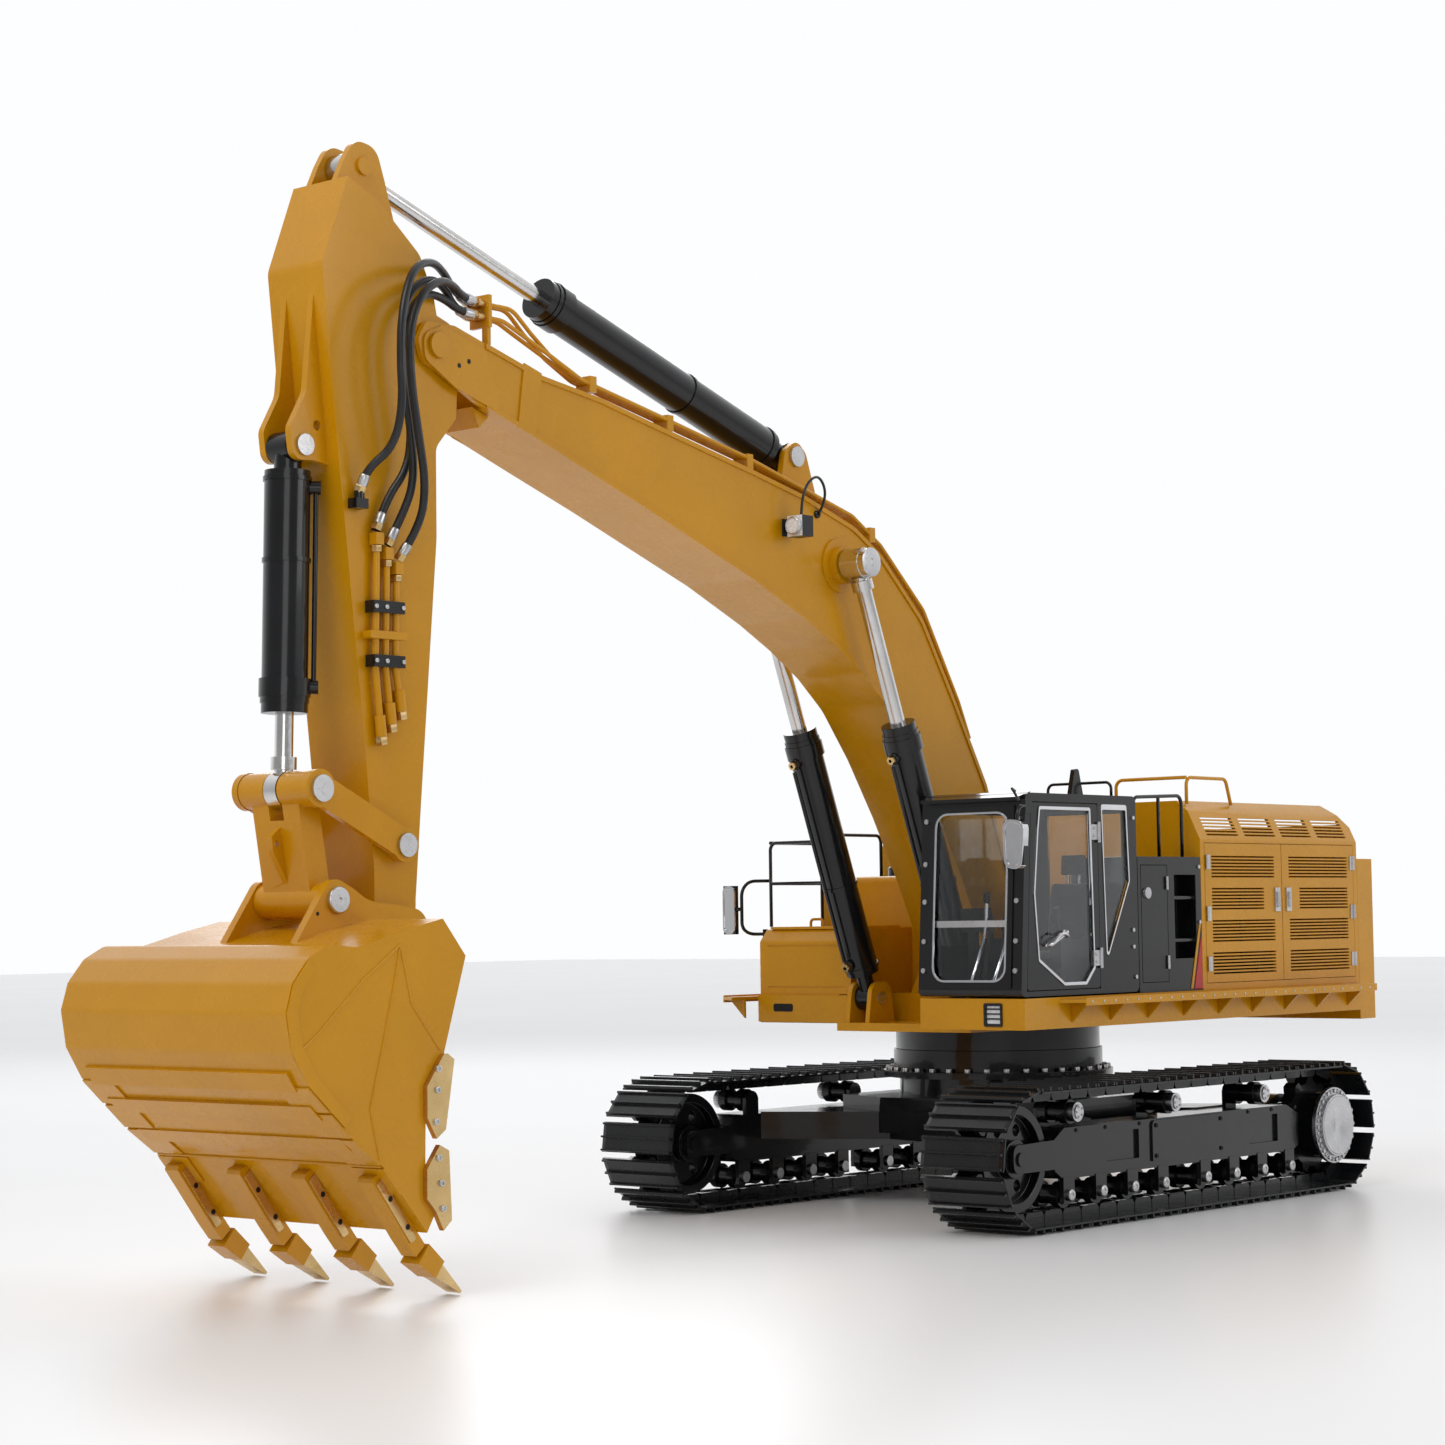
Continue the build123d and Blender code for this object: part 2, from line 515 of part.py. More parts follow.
def cab_glass():
    """Windscreen panes, right, rear and rear-side windows and the roof hatch."""
    y0, y1, z0, z1 = SCREEN
    split = 173.0
    thick, gap = 1.2, 0.1

    def screen(low, high):
        return plate([(nose_x(low) - 2.0, low), (nose_x(low) - 0.8, low), (nose_x(high) - 0.8, high),
                      (nose_x(high) - 2.0, high)], y0 + gap, y1 - gap)

    upper, lower = screen(split + 2, z1 - gap), screen(z0 + gap, split - 2)
    rail = plate([(nose_x(split) - 2.4, split - 1.9), (nose_x(split) - 0.2, split - 1.9),
                  (nose_x(split) - 0.2, split + 1.9), (nose_x(split) - 2.4, split + 1.9)],
                 y0 + gap, y1 - gap)
    rear_side = plate(scaled(REAR_PANE, -gap), CAB_OUT - 2.0, CAB_OUT - 0.8)
    right = plate(scaled([(40, 160), (132, 160), (128, 238), (40, 238)], -gap),
                  CAB_IN + 0.8, CAB_IN + 2.0)
    rear = block(CAB_REAR + 0.8, CAB_REAR + 0.8 + thick, CAB_IN + 10 + gap, CAB_OUT - 10 - gap,
                 180 + gap, 238 - gap)
    hatch = block(60 + gap, 115 - gap, CAB_IN + 14 + gap, CAB_OUT - 14 - gap, CAB_ROOF - 1.8,
                  CAB_ROOF - 0.4)
    return [upper, lower, rail, rear_side, right, rear, hatch]


def cab_door():
    leaf = plate([(x, z, 2) for x, z in scaled(CAB_DOOR, -0.35)], CAB_OUT - WALL, CAB_OUT)
    pane = plate(DOOR_PANE, CAB_OUT - 6, CAB_OUT + 1)
    knuckles = [disc_z(68.6, CAB_OUT + 1.1, z - 6, z + 6, 1.1) for z in (152, 226)]
    straps = [block(68.6, 76, CAB_OUT - EPS, CAB_OUT + 1.0, z - 4.5, z + 4.5) for z in (152, 226)]
    return join(cut(leaf, pane), *knuckles, *straps)


def cab_door_glass():
    pane = plate(scaled(DOOR_PANE, -0.1), CAB_OUT - 2.0, CAB_OUT - 0.8)
    handle, _, _ = tube([(122, CAB_OUT - 1, 160), (122, CAB_OUT + 2.4, 160),
                         (104, CAB_OUT + 2.4, 168), (104, CAB_OUT - 1, 168)], 0.9)
    return join(pane, handle)


def operator_seat():
    base = block(52, 82, 74, 102, 133.6, 146)
    cushion = block(48, 86, 72, 104, 146, 156)
    back = plate([(44, 150), (54, 152), (46, 200, 3), (37, 198, 3)], 73, 103)
    rest = plate([(37.5, 201), (45, 202), (44, 214, 3), (37.5, 213, 3)], 79, 97)
    posts = [bar((41, y, 196), (41, y, 204), 1.2) for y in (84, 92)]
    return join(base, cushion, back, rest, *posts)


def control_console():
    """Side consoles with joysticks, travel levers and the monitor."""
    sides = [block(50, 96, y, y + 8, 133.6, 164) for y in (59, 107)]
    sticks = [join(bar((90, y, 163), (93, y, 176), 1.1), bar((92.6, y, 174), (94.6, y, 182), 2.2))
              for y in (63, 111)]
    pedal = block(118, 140, 76, 100, 133.6, 136)
    levers = [join(bar((128, y, 135), (120, y, 170), 1.0), bar((120, y, 169), (118.6, y, 176), 1.9))
              for y in (83, 93)]
    monitor = join(block(112, 115, 58, 74, 168, 182), block(112, 115, 63, 69, 133.6, 169))
    return sides + sticks + [join(pedal, *levers)] + [monitor]


def mirrors():
    """Left mirror on the cab's front post, right mirror on its bracket."""
    head = plate([(151, 206), (156, 206), (155.5, 231), (152, 231)], 119, 133)
    arm, _, _ = tube([(143.0, 126.2, 240), (150, 127, 240), (153, 127, 236), (153.2, 127, 229)], 1.1)
    foot = block(139, 145.5, CAB_OUT, CAB_OUT + 3, 236, 244)
    right_head = plate([(86, 168), (89, 168), (89, 199), (86, 199)], -150, -140)
    loop, _, _ = tube([(70, -127, 168), (80, -136, 168), (87.4, -136, 172), (87.4, -136, 196),
                       (80, -136, 202), (70, -127, 202)], 1.1)
    clamp = block(66, 74, -130, -HOUSE_HALF, 165, 171)
    brace = bar((87.4, -137, 184), (87.4, -141, 184), 1.2)
    return [join(head, arm, foot), join(right_head, loop, clamp, brace)]


def rail(points, r=1.1):
    return tube(points, r, cap=5)[0]


def hand_rails():
    """Black rails on the cabinet, tank housing and tool box; yellow rail on the hood."""
    top = CABINET_TOP
    cabinet = rail([(20, 118, top), (20, 118, top + 36), (-34, 118, top + 38), (-34, 118, top)])
    spur = bar((-8, 118, top), (-8, 118, top + 36.4), 1.1)
    roof = rail([(34, 112, CAB_ROOF), (34, 112, CAB_ROOF + 9), (34, 66, CAB_ROOF + 9),
                 (34, 66, CAB_ROOF)], 0.9)
    front = rail([(76, -121, 172.5), (76, -121, 226), (76, -60, 226), (76, -60, 172.5)])
    lower = bar((76, -121, 200), (76, -60, 200), 1.0)
    side = rail([(76, -121, 226), (24, -121, 226), (24, -121, 171)])
    side_low = bar((76, -121, 200), (24, -121, 200), 1.0)
    tank = rail([(14, -120, 204), (14, -120, 232), (-38, -120, 232), (-38, -120, 204)])
    hood = rail([(-50, 112, 245.4), (-50, 112, 262), (-96, 112, 262), (-102, 112, 245.6)])
    inner = rail([(-50, 112, 262), (-50, 60, 262), (-50, 60, 247.5)])
    return [join(cabinet, spur), roof, join(front, lower, side, side_low), tank, join(hood, inner)]


def fasteners():
    """Screw heads on the windscreen frame, cab posts and house."""
    heads = []
    for z in (146, 163, 186, 208, 233):
        for y in (CAB_IN + 4, CAB_OUT - 4):
            x = nose_x(z)
            heads.append(bar((x + 0.12, y, z), (x + 1.5, y, z + 0.1), 1.5))
    for x, z in ((33, 158), (33, 168), (31, 235), (31, 140)):
        heads.append(bar((x, CAB_OUT, z), (x, CAB_OUT + 1.1, z), 1.2))
    for z in (172, 206):
        heads.append(bar((-41.4, HOUSE_HALF, z), (-41.4, HOUSE_HALF + 1.0, z), 1.2))
    return heads


# ----------------------------------------------------- inside the engine bay
def hydraulic_pump():
    """Brushless motor, coupling and gear pump on one foot."""
    y = 30
    motor = disc_x(-150, -108, y, 162, 16)
    fins = [disc_x(x, x + 2, y, 162, 17.6) for x in range(-146, -112, 6)]
    neck = disc_x(-109, -96, y, 162, 9)
    pump = block(-97, -70, y - 14, y + 14, 148, 176)
    foot = block(-148, -72, y - 12, y + 12, 130, 149)
    ports = [bar((-84, y, 175), (-84, y, 184), 4), bar((-76, y + 13, 162), (-76, y + 20, 162), 4)]
    return join(motor, *fins, neck, pump, foot, *ports)


def hydraulic_tank():
    body = plate([(-148, 130), (-66, 130), (-66, 196, 6), (-148, 196, 6)], -104, -50)
    cap = disc_z(-88, -77, 195, 203, 9)
    sight = bar((-120, -50, 160), (-120, -47.5, 160), 5)
    return join(body, cap, sight)


def valve_block():
    body = block(-40, -14, -24.5, 24.5, 130, 150)
    spools = [bar((-27, y, 149), (-27, y, 160), 4.6) for y in range(-20, 21, 10)]
    servos = [block(-34, -20, y - 4, y + 4, 159.5, 172) for y in range(-20, 21, 10)]
    return join(body, *spools, *servos)


def battery_pack():
    cells = [block(-228, -164, y, y + 27.6, 130, 172) for y in (-58, -30)]
    plug = block(-163.9, -154, -36, -26, 150, 160)
    return cells + [plug]


def control_receiver():
    case = block(-226, -186, 40, 78, 130, 146)
    aerial = bar((-222, 44, 145.5), (-222, 44, 190), 0.9)
    return join(case, aerial)


# ---------------------------------------------------------------------- boom
BOOM_TOP = [(496, 483.5), (433, 465.5), (388, 459), (345, 450), (260, 432.5), (215, 422.5),
            (168, 408), (143, 393.5), (103, 357.5), (72, 310), (41, 259)]
BOOM_LOW = [(68, 199), (92, 239), (116, 274), (140, 303), (163, 321.5), (189, 337), (216, 350.5),
            (262, 370), (358, 404.5), (408, 421.5), (447, 435), (480, 445.5)]


def soften(points, r):
    """Give each inner point a corner radius where the turn allows one."""
    return [points[0]] + [(x, z, r) for x, z in points[1:-1]] + [points[-1]]


def boom_outline():
    fx, fz = BOOM_FOOT
    ax, az = ARM_PIVOT
    tip = [(ax - 3, az - 13.5), (ax + 9, az - 9, 5), (ax + 13, az + 2, 6), (ax + 7, az + 12, 5)]
    foot = [(fx - 14, fz + 12, 10), (fx - 15, fz - 11, 12), (fx + 12, fz - 16, 12),
            (fx + 24, fz - 4, 10)]
    return tip + soften(BOOM_TOP, 40)[0:] + foot + soften(BOOM_LOW, 40)


def boom():
    box_end = 474
    outline = boom_outline()
    sides = both(plate(outline, BOOM_HALF - PLATE, BOOM_HALF))
    whole = rounded(outline)
    skin = Solid.extrude(whole.moved(Location((0, -BOOM_HALF - 1, 0))), Vector(0, 2 * BOOM_HALF + 2, 0))
    core_face = offset(whole, amount=-2.6)
    core = Solid.extrude(core_face.faces()[0].moved(Location((0, -BOOM_HALF - 5, 0))),
                         Vector(0, 2 * BOOM_HALF + 10, 0))
    nose = block(box_end, 540, -60, 60, 430, 500)
    bands = cut(skin, core, nose)
    wall = plate([(box_end - 3, 444), (box_end, 445), (box_end, 476.5), (box_end - 3, 475.5)],
                 -BOOM_HALF + 1, BOOM_HALF - 1)
    foot_tube = disc(BOOM_FOOT, 14, -BOOM_HALF - 0.9, BOOM_HALF + 0.9)
    pin_boss = both(join(disc(BOOM_CYL_PIN, 16, BOOM_HALF - EPS, BOOM_HALF + 1.4),
                         disc(BOOM_CYL_PIN, 11, BOOM_HALF, 29.6)))
    through = disc(BOOM_CYL_PIN, 11, -BOOM_HALF + 1, BOOM_HALF - 1)
    lug_low = 421
    wx, wz = ARM_CYL_FOOT
    lug = [(wx + 15, lug_low + 2), (wx + 9.5, wz + 3, 8), (wx - 1, wz + 10, 8), (wx - 9.5, wz + 3, 8),
           (wx - 22, lug_low - 6)]
    lugs = both(plate(lug, 9.0, 13.0))
    strap = both(plate([(438, 432), (451, 436), (446, 470.5), (433, 466.5)], BOOM_HALF - EPS,
                       BOOM_HALF + 1.0))
    cheek = both(plate([(462, 441, 4), (497, 451.5), (ARM_PIVOT[0] + 9, ARM_PIVOT[1] - 8, 6),
                        (ARM_PIVOT[0] + 10, ARM_PIVOT[1] + 5, 7), (ARM_PIVOT[0] - 4, ARM_PIVOT[1] + 11, 5),
                        (474, 473, 6)], BOOM_HALF - EPS, BOOM_HALF + 1.2))
    body = join(*sides, bands, wall, foot_tube, *pin_boss, through, *lugs, *strap, *cheek)
    return cut(body, disc(BOOM_FOOT, 6 + RUN_GAP, -40, 40), disc(ARM_PIVOT, 5 + RUN_GAP, -40, 40),
               disc(ARM_CYL_FOOT, 4, -20, 20))


PIPE_R = 1.15
PIPE_Y = (22.6, 20.0, 17.4, 14.8)
FITTING_Y = (20.0, 15.4)
MANIFOLD_X = 470.0


def pipe_route(i):
    """Hard line from the valve end, over the boom's back, to the bulkhead at its nose."""
    y, lift = PIPE_Y[i], 3.4
    end = FITTING_Y[i // 2]
    route = [(55, y, 287), (66, y, 306 + lift), (100, y, 360 + lift), (141, y, 396 + lift),
             (168, y, 411.5 + lift), (262, y, 436 + lift), (345, y, 453 + lift),
             (400, y, 464 + lift)]
    if i % 2 == 0:
        return route + [(424, y, 474 + lift), (445, (y + end) / 2, 483 + lift), (457, end, 492),
                        (MANIFOLD_X - 1, end, 492)]
    return route + [(420, y, 477), (436, y, 488), (450, end, 499), (MANIFOLD_X - 1, end, 499)]


def boom_pipes():
    runs = [tube(pipe_route(i), PIPE_R, cap=14)[0] for i in range(len(PIPE_Y))]
    bulkhead = join(block(MANIFOLD_X - 1.2, MANIFOLD_X + 1.2, 10, 24, 486.5, 503.5),
                    block(MANIFOLD_X - 1.2, MANIFOLD_X + 1.2, 19, 23, 477.2, 488))
    nuts = [disc_x(MANIFOLD_X + 1.1, MANIFOLD_X + 6.5, y, z, 2.25) for y in FITTING_Y
            for z in (492, 499)]
    clips = [block(x - 2.5, x + 2.5, 13.2, 23.9, z - 4, z + 4.8)
             for x, z in ((150, 404.5), (262, 437), (330, 451.5), (392, 465.5))]
    return [join(*runs, bulkhead, *nuts, *clips)]


LIGHT_WIRE_R = 0.8
# Centre line of the lamp's wire, over the boom's edge to its grommet
LIGHT_WIRE = [(230, 34.5, 408.3), (230.5, 35.5, 418), (226, 36.5, 428), (216.5, 36, 433),
              (207.5, 34, 428), (203.5, 31, 419.5), (203, 25.6, 412.5)]


def work_light():
    x, z = 232, 402
    housing = join(block(x - 6, x + 4, 29, 40, z - 6, z + 6), disc_x(x + 3.5, x + 6, 34.5, z, 4.6))
    bracket = join(block(x - 4, x + 1, BOOM_HALF, 29.5, z - 2, z + 2),
                   block(x - 6, x + 3, BOOM_HALF, BOOM_HALF + 1.2, z - 5, z + 5))
    return join(housing, bracket)


# ------------------------------------------------------------------ cylinders
def along(a, b, t):
    """Point of the XZ plane t millimetres from a towards b."""
    length = math.dist(a, b)
    return (a[0] + (b[0] - a[0]) * t / length, a[1] + (b[1] - a[1]) * t / length)


def cyl_bar(a, b, t0, t1, r, y):
    p, q = along(a, b, t0), along(a, b, t1)
    return bar((p[0], y, p[1]), (q[0], y, q[1]), r)


def barrel(foot, pin, y, length, r, eye_r, eye_half, bore, start):
    """Cylinder barrel: foot eye, tube, gland and two port blocks; open at the gland."""
    eye = disc(foot, eye_r, y - eye_half, y + eye_half)
    shank = cyl_bar(foot, pin, 0, start + 1, eye_half - 0.4, y)
    body = cyl_bar(foot, pin, start, length - 14, r, y)
    gland = join(cyl_bar(foot, pin, length - 17, length - 8, r + 1.4, y),
                 cyl_bar(foot, pin, length - 9, length - 5, r + 0.7, y),
                 cyl_bar(foot, pin, length - 6, length, r + 0.1, y))
    band = [cyl_bar(foot, pin, t, t + 2.2, r + 0.7, y) for t in (start + 3, length * 0.42)]
    hollow = cyl_bar(foot, pin, start + 5, length - 10, bore, y)
    mouth = cyl_bar(foot, pin, length - 11, length + 2, ROD_R + RUN_GAP, y)
    return cut(join(eye, shank, body, gland, *band), hollow, mouth)


ROD_R = 4.6


def rod(foot, pin, y, barrel_length, eye_r, eye_half, bore, back=50):
    """Piston rod with its piston head and rod eye."""
    total = math.dist(foot, pin)
    stem = cyl_bar(foot, pin, barrel_length - back + 8, total - eye_r + 2, ROD_R, y)
    head = cyl_bar(foot, pin, barrel_length - back, barrel_length - back + 9, bore - RUN_GAP, y)
    eye = disc(pin, eye_r, y - eye_half, y + eye_half)
    collar = cyl_bar(foot, pin, total - eye_r - 7, total - eye_r - 0.8, ROD_R + 1.8, y)
    return join(stem, head, eye, collar)


def side_pipe(foot, pin, length, r, y, turn):
    """Thin pressure pipe with port blocks along a barrel; turn gives its side."""
    ax, az = (pin[0] - foot[0]), (pin[1] - foot[1])
    size = math.hypot(ax, az)
    nx, nz = -az / size * math.cos(turn), ax / size * math.cos(turn)
    ny = math.sin(turn)

    def at(t, out):
        p = along(foot, pin, t)
        return (p[0] + nx * out, y + ny * out, p[1] + nz * out)

    line = bar(at(22, r + 2.6), at(length - 12, r + 2.6), 1.3)
    ports = [bar(at(t, r - 1.5), at(t, r + 5), 3.4) for t in (20, length - 13)]
    return join(line, *ports)


BOOM_BARREL, ARM_BARREL, BUCKET_BARREL = 176.0, 212.0, 132.0
BOOM_CYL_R, ARM_CYL_R, BUCKET_CYL_R = 10.2, 11.6, 11.4


def boom_barrel():
    body = barrel(BOOM_CYL_FOOT, BOOM_CYL_PIN, BOOM_CYL_Y, BOOM_BARREL, BOOM_CYL_R, 8, 5.6, 8.4, 17)
    return cut(body, disc(BOOM_CYL_FOOT, 4 + RUN_GAP, 20, 60))


def boom_rod():
    body = rod(BOOM_CYL_FOOT, BOOM_CYL_PIN, BOOM_CYL_Y, BOOM_BARREL, 9, 6.6, 8.4)
    pin = join(disc(BOOM_CYL_PIN, 6, 30, 45), disc(BOOM_CYL_PIN, 8.6, 44, 48.4))
    return join(body, pin)


def arm_barrel():
    body = join(barrel(ARM_CYL_FOOT, ARM_CYL_PIN, 0, ARM_BARREL, ARM_CYL_R, 8.5, 8.6, 9.4, 14),
                side_pipe(ARM_CYL_FOOT, ARM_CYL_PIN, ARM_BARREL, ARM_CYL_R, 0, -0.5))
    pin = join(disc(ARM_CYL_FOOT, 3.95, -14.4, 14.4), disc(ARM_CYL_FOOT, 6, 13.2, 15),
               disc(ARM_CYL_FOOT, 6, -15, -13.2))
    return join(body, pin)


def arm_rod():
    return rod(ARM_CYL_FOOT, ARM_CYL_PIN, 0, ARM_BARREL, 8.6, 6.8, 9.4)


def bucket_barrel():
    body = join(barrel(BUCKET_CYL_FOOT, LINK_PIN, 0, BUCKET_BARREL, BUCKET_CYL_R, 8, 7.2, 9.2, 12),
                side_pipe(BUCKET_CYL_FOOT, LINK_PIN, BUCKET_BARREL, BUCKET_CYL_R, 0, 2.4))
    return cut(body, disc(BUCKET_CYL_FOOT, 4 + RUN_GAP, -20, 20))


def bucket_rod():
    return rod(BUCKET_CYL_FOOT, LINK_PIN, 0, BUCKET_BARREL, 9.2, 4.4, 9.2, back=66)


# ----------------------------------------------------------------------- arm
ARM_BACK = [(545.5, 541), (516.5, 517.5, 12), (507, 497, 12), (505, 488), (493, 484, 8),
            (490, 461, 8), (492, 436, 4), (506.3, 420, 8), (506.4, 373, 60), (519, 235.5),
            (523, 190)]
ARM_FRONT = [(551, 204), (555.5, 255, 60), (570, 385, 60), (572, 400), (583, 504, 10),
             (565.5, 550)]


def arm_outline():
    px, pz = BUCKET_PIVOT
    tip = [(px - 13.5, pz - 4, 8), (px - 6, pz - 13, 8), (px + 8, pz - 13, 8), (px + 14, pz - 2, 8)]
    return ARM_BACK + tip + ARM_FRONT


def arm():
    outline = arm_outline()
    whole = rounded(outline)
    sides = both(plate(outline, ARM_HALF - PLATE, ARM_HALF))
    skin = Solid.extrude(whole.moved(Location((0, -ARM_HALF, 0))), Vector(0, 2 * ARM_HALF, 0))
    core_face = offset(whole, amount=-2.6)
    core = Solid.extrude(core_face.faces()[0].moved(Location((0, -ARM_HALF - 5, 0))),
                         Vector(0, 2 * ARM_HALF + 10, 0))
    bands = cut(skin, core)
    tubes = [disc(ARM_PIVOT, 12, -ARM_HALF, ARM_HALF), disc(BUCKET_PIVOT, 12, -ARM_HALF, ARM_HALF),
             disc(ROCKER_PIVOT, 8, -23.2, 23.2)]
    ux, uz = ARM_CYL_PIN
    ear = [(522, 521), (561, 548), (568, 543.5), (ux + 13, uz + 1, 6), (ux + 6, uz + 13, 10),
           (ux - 9, uz + 11, 10), (ux - 15, uz - 6, 8)]
    ears = both(plate(ear, 7.6, 11.4))
    caps = both(disc(ARM_CYL_PIN, 4.6, 11.3, 13))
    tx, tz = BUCKET_CYL_FOOT
    horn = [(580.5, 499), (571, 405), (tx - 6, tz - 7, 5), (tx + 7, tz - 8, 7), (tx + 9, tz + 8, 7),
            (586.5, 440, 14)]
    horns = both(cut(plate(horn, 8.0, 12.0), disc((579.5, 424.0), 2.6, 5, 14)))
    body = join(*sides, bands, *tubes, *ears, *caps, *horns)
    return cut(body, disc(ARM_PIVOT, 5, -40, 40), disc(BUCKET_PIVOT, 5, -40, 40),
               disc(ROCKER_PIVOT, 4.5, -40, 40), disc(BUCKET_CYL_FOOT, 4, -20, 20))


def arm_pins():
    """Pins that ride with the arm: boom nose, bucket, rocker and cylinder head."""
    nose = join(disc(ARM_PIVOT, 5, -26.6, 26.6), disc(ARM_PIVOT, 6.6, 25.4, 27.4),
                disc(ARM_PIVOT, 6.6, -27.4, -25.4))
    tip = join(disc(BUCKET_PIVOT, 5, -29.4, 29.4), disc(BUCKET_PIVOT, 7, 28.4, 30),
               disc(BUCKET_PIVOT, 7, -30, -28.4))
    rocker = join(disc(ROCKER_PIVOT, 4.5, -28.6, 28.6), disc(ROCKER_PIVOT, 6, 27.8, 29.4),
                  disc(ROCKER_PIVOT, 6, -29.4, -27.8))
    head = join(disc(BUCKET_CYL_FOOT, 4, -12.6, 12.6), disc(BUCKET_CYL_FOOT, 5.4, 12, 13.6),
                disc(BUCKET_CYL_FOOT, 5.4, -13.6, -12))
    return [nose, tip, rocker, head]


ARM_PORTS = ((551.0, 368.0), (544.3, 361.0), (537.6, 354.0))    # upper pipe ends, (x, z)


def arm_pipes():
    """Three capped hard lines on the arm's left face with clamps, and a single fitting."""
    y = ARM_HALF + 3.4
    lines = []
    for i, (x, z) in enumerate(ARM_PORTS):
        low = 277 + 6.5 * i
        run, _, _ = tube([(x, y, z), (x + 1.5, y, 305), (x - 1.5, y, low)], 1.8, cap=10)
        elbow = block(x - 2.6, x + 2.6, y - 2.6, y + 2.6, z - 2, z + 4)
        foot = bar((x - 1.2, y, low + 4), (x - 2.6, y, low - 8), 2.8)
        lines.append(join(run, elbow, foot))
    clamps = [block(535, 556, ARM_HALF, y + 3.2, z - 3, z + 3) for z in (335, 308)]
    horn = join(block(559, 567, ARM_HALF, y + 3, 383, 388), bar((562.8, y + 0.4, 387), (562.8, y + 0.4, 391.8), 2.6))
    return [join(*lines, *clamps), horn]


def rocker_links():
    """Two flat rocker bars with the cross pin that carries the power link."""
    q, s = ROCKER_PIVOT, LINK_PIN
    bars = []
    for y0, y1 in ((23.6, 27.6), (-27.6, -23.6)):
        p0, p1 = along(q, s, 0), along(q, s, math.dist(q, s))
        dx, dz = (p1[0] - p0[0]) / math.dist(q, s), (p1[1] - p0[1]) / math.dist(q, s)
        half = 7.6
        web = plate([(p0[0] - dz * half, p0[1] + dx * half), (p1[0] - dz * half, p1[1] + dx * half),
                     (p1[0] + dz * half, p1[1] - dx * half), (p0[0] + dz * half, p0[1] - dx * half)],
                    y0, y1)
        bars.append(join(web, disc(q, 8.6, y0, y1), disc(s, 9.4, y0, y1)))
    arms = [cut(b, disc(q, 4.5 + RUN_GAP, -40, 40)) for b in bars]
    pins = [join(disc(s, 4.4, y0, y1), disc(s, 6.6, c0, c1))
            for y0, y1, c0, c1 in ((5.0, 28.4, 27.5, 29.6), (-28.4, -5.0, -29.6, -27.5))]
    return [join(arms[0], pins[0]), join(arms[1], pins[1])]


def power_link():
    """Box link between the rocker pin and the bucket, with a lifting eye."""
    s, r = LINK_PIN, BUCKET_PIN
    length = math.dist(s, r)
    ux, uz = (r[0] - s[0]) / length, (r[1] - s[1]) / length

    def at(t, n):
        return (s[0] + ux * t - uz * n, s[1] + uz * t + ux * n)

    body = plate([at(5, -6.5), at(5, 6.5), at(length - 4, 6.5), at(length - 4, -6.5)], -17, 17)
    upper = [disc(s, 9, 5.1, 23.3), disc(s, 9, -23.3, -5.1)]
    lower = disc(r, 8.6, -23.2, 23.2)
    eye = plate([at(17, 6), at(21, 13), at(29, 13), at(46, 6)], -1.8, 1.8)
    hole = disc(at(25, 10.0), 1.6, -4, 4)
    notch = disc(s, 15.5, -5.1, 5.1)
    solid = join(body, *upper, lower, eye)
    return cut(solid, notch, hole, disc(s, 4.4 + RUN_GAP, -40, 40))


# -------------------------------------------------------------------- bucket
BUCKET_BACK = [(564, 180), (588, 175), (619, 167), (637, 169), (650, 162.5), (659.5, 151.5),
               (663.5, 138), (660, 119.5), (650, 104), (623, 79), (604, 65), (576, 32)]
BUCKET_MOUTH = [(570.5, 41), (577, 48.5), (576.5, 83), (565, 113), (549, 162)]


def bucket_outline():
    back = [BUCKET_BACK[0]] + [(x, z, 8) for x, z in BUCKET_BACK[1:9]] + BUCKET_BACK[9:]
    return back + BUCKET_MOUTH


def bucket():
    w = BUCKET_HALF
    outline = bucket_outline()
    whole = rounded(outline)
    skin = Solid.extrude(whole.moved(Location((0, -w + 3, 0))), Vector(0, 2 * w - 6, 0))
    core = offset(whole, amount=-3.0).faces()[0]
    hollow = Solid.extrude(core.moved(Location((0, -w - 5, 0))), Vector(0, 2 * w + 10, 0))
    mouth = plate([(577.5, 33), (584, 41), (586, 84), (573, 114), (560, 158), (566, 172.5),
                   (564, 176.6), (540, 186), (530, 160), (560, 60), (560, 30)], -w - 5, w + 5)
    wrapper = cut(skin, hollow, mouth)
    lip = plate([(576, 32), (604, 65), (600, 68.4), (573.5, 37)], -w + 3, w - 3)
    rx, rz = BUCKET_PIN
    px, pz = BUCKET_PIVOT
    ear = [(622, 166), (609, 169.5), (rx + 13, rz - 2, 22), (rx + 3, rz + 12, 8), (rx - 10, rz + 6, 9),
           (px + 25, pz + 20, 40), (px + 4, pz + 18, 14), (px - 14, pz + 15, 12), (px - 17, pz - 12, 12),
           (px + 4, pz - 17, 14), (563, 170), (590, 171.5)]
    ears = both(plate(ear, 23.6, 28.2))
    caps = both(disc(BUCKET_PIN, 6.6, 28.1, 30))
    heel = [plate([(x0, z0), (x1, z1), (x1 + dx, z1 + dz), (x0 + dx, z0 + dz)], -w + 8, w - 8)
            for x0, z0, x1, z1, dx, dz in HEEL_BARS]
    body = join(wrapper, lip, *ears, *caps, *heel)
    return cut(body, disc(BUCKET_PIVOT, 5 + RUN_GAP, -40, 40))


def bucket_sides():
    """The two side plates welded to the ends of the shell."""
    return both(plate(bucket_outline(), BUCKET_HALF - 3, BUCKET_HALF))


